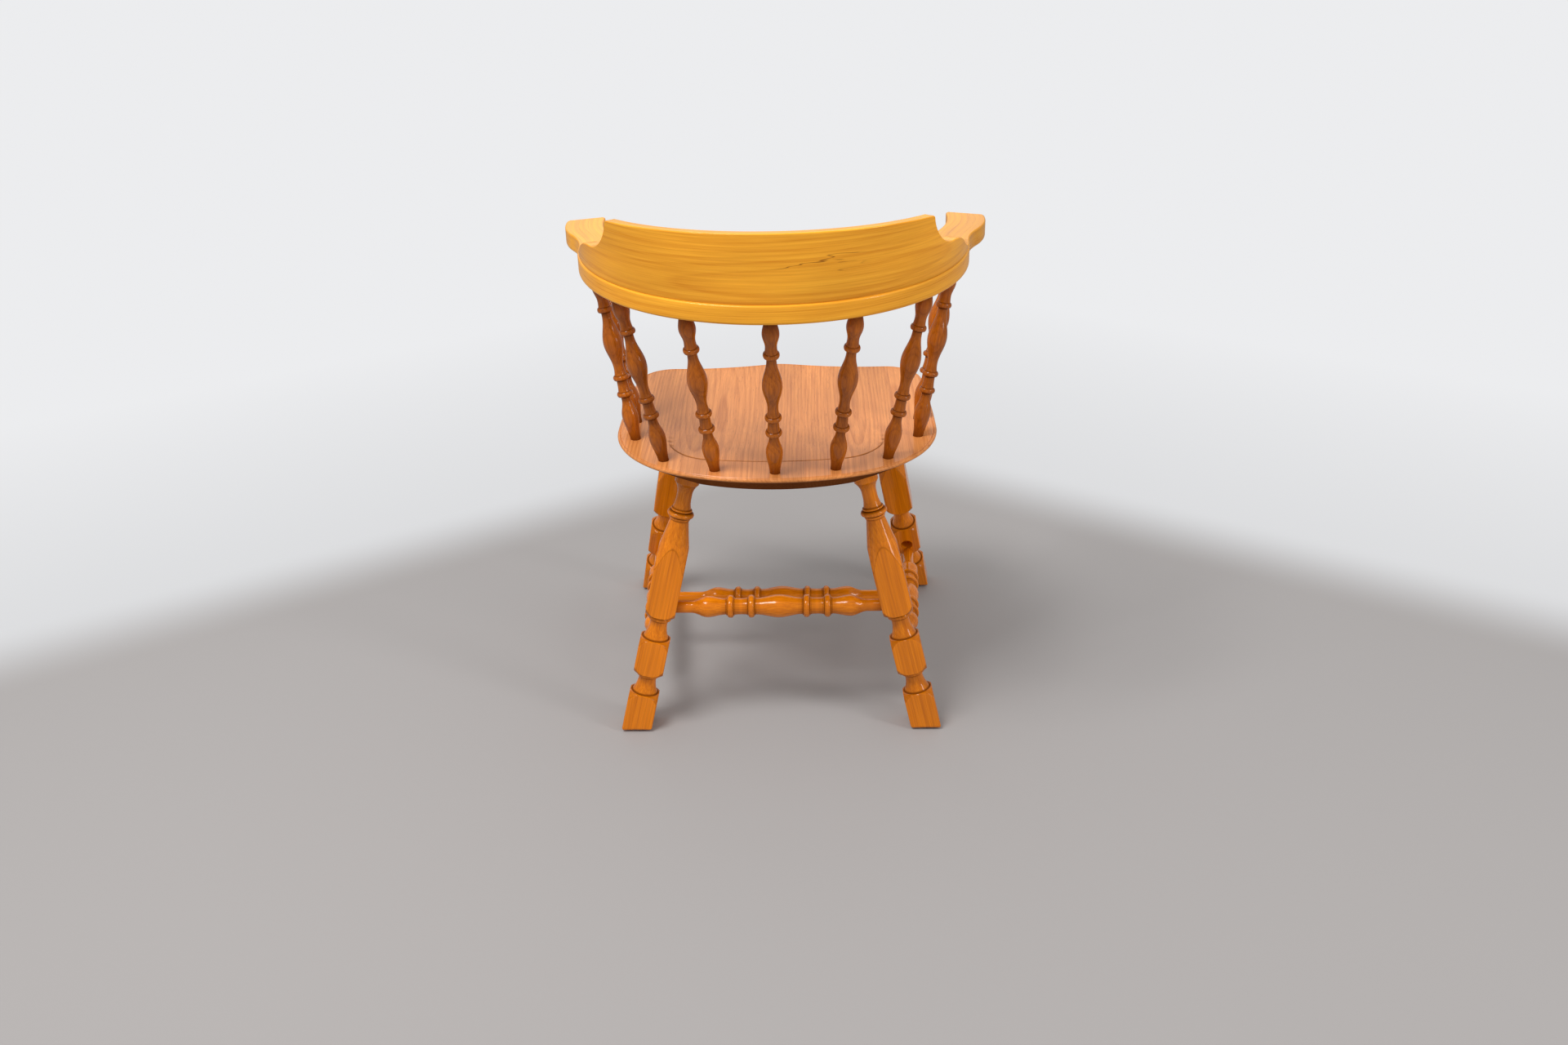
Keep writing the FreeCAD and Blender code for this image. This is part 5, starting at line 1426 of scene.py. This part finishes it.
# The even light of the room, and how much of it glossy surfaces mirror.
ROOM_LIGHT = 0.72
MIRRORED_LIGHT = 0.36


def make_light(context):
    """Even light from the room, a window lamp from above, a fill from the side and a sheen from the front."""
    world = bpy.data.worlds.new("studio")
    world.use_nodes = True
    context.scene.world = world
    tree = world.node_tree
    tree.nodes.clear()
    output = node(tree, "ShaderNodeOutputWorld", (4, 0))
    air = node(tree, "ShaderNodeBackground", (2, 0))
    air.inputs["Color"].default_value = (1.0, 1.0, 1.0, 1.0)
    path = node(tree, "ShaderNodeLightPath", (0, 1))
    link(tree, ranged(tree, path.outputs["Is Glossy Ray"], 0.0, 1.0, ROOM_LIGHT, MIRRORED_LIGHT, (1, 0)),
         air.inputs["Strength"])
    link(tree, air.outputs[0], output.inputs["Surface"])
    area_light("window", place=(1.2, 1.2, 3.2), target=(0, 0, 0.4), size=(1.3, 0.9), power=74.0)
    area_light("fill", place=(-2.6, 1.6, 1.8), target=(0, 0, 0.4), size=(0.5, 1.8), power=26.0)
    area_light("sheen", place=(0.3, -2.8, 2.0), target=(0, 0, 0.6), size=(3.0, 1.3), power=9.0)


# The camera behind the chair, looking down on it: place in metres, turns in degrees, lens and sensor in
# millimetres.
CAMERA_PLACE = (-0.0532, 2.0842, 1.2363)
CAMERA_YAW = 1.29
CAMERA_PITCH = 25.22
CAMERA_ROLL = -1.18
CAMERA_LENS = 33.75
CAMERA_SENSOR = 36.0


def make_camera(context):
    """Turned aside by the yaw, looking down by the pitch and tilted by the roll."""
    lens = bpy.data.cameras.new("camera")
    lens.sensor_width = CAMERA_SENSOR
    lens.lens = CAMERA_LENS
    holder = bpy.data.objects.new("camera", lens)
    yaw, pitch, roll = (math.radians(value) for value in (CAMERA_YAW, CAMERA_PITCH, CAMERA_ROLL))
    ahead = Vector((math.sin(yaw) * math.cos(pitch), -math.cos(yaw) * math.cos(pitch), -math.sin(pitch)))
    right = ahead.cross(Vector((0, 0, 1))).normalized()
    up = right.cross(ahead)
    right_turned = right * math.cos(roll) + up * math.sin(roll)
    up_turned = up * math.cos(roll) - right * math.sin(roll)
    turn = Matrix((right_turned, up_turned, -ahead)).transposed().to_4x4()
    holder.matrix_world = Matrix.Translation(CAMERA_PLACE) @ turn
    context.scene.collection.objects.link(holder)
    context.scene.camera = holder
    context.scene.view_settings.view_transform = "Standard"


class CHAIR_PT_panel(Panel):
    """Lists the steps that build the chair and its stage"""
    bl_label = "Captains Chair"
    bl_idname = "CHAIR_PT_panel"
    bl_space_type = "VIEW_3D"
    bl_region_type = "UI"
    bl_category = "Chair"

    def draw(self, context):
        column = self.layout.column()
        for operator in OPERATORS:
            column.operator(operator.bl_idname)


OPERATORS = (CHAIR_OT_seat, CHAIR_OT_arms, CHAIR_OT_crest, CHAIR_OT_uprights, CHAIR_OT_legs,
             CHAIR_OT_stretchers, CHAIR_OT_glides, CHAIR_OT_stage)
CLASSES = (ChairSizes, ChairColours, *OPERATORS, CHAIR_PT_panel)


def register():
    for item in CLASSES:
        bpy.utils.register_class(item)
    bpy.types.Scene.chair_sizes = PointerProperty(type=ChairSizes)
    bpy.types.Scene.chair_colours = PointerProperty(type=ChairColours)


def unregister():
    del bpy.types.Scene.chair_colours
    del bpy.types.Scene.chair_sizes
    for item in reversed(CLASSES):
        bpy.utils.unregister_class(item)


def main():
    register()
    for name in ("seat", "arms", "crest", "uprights", "legs", "stretchers", "glides", "stage"):
        getattr(bpy.ops.chair, name)()


if __name__ == "__main__":
    main()
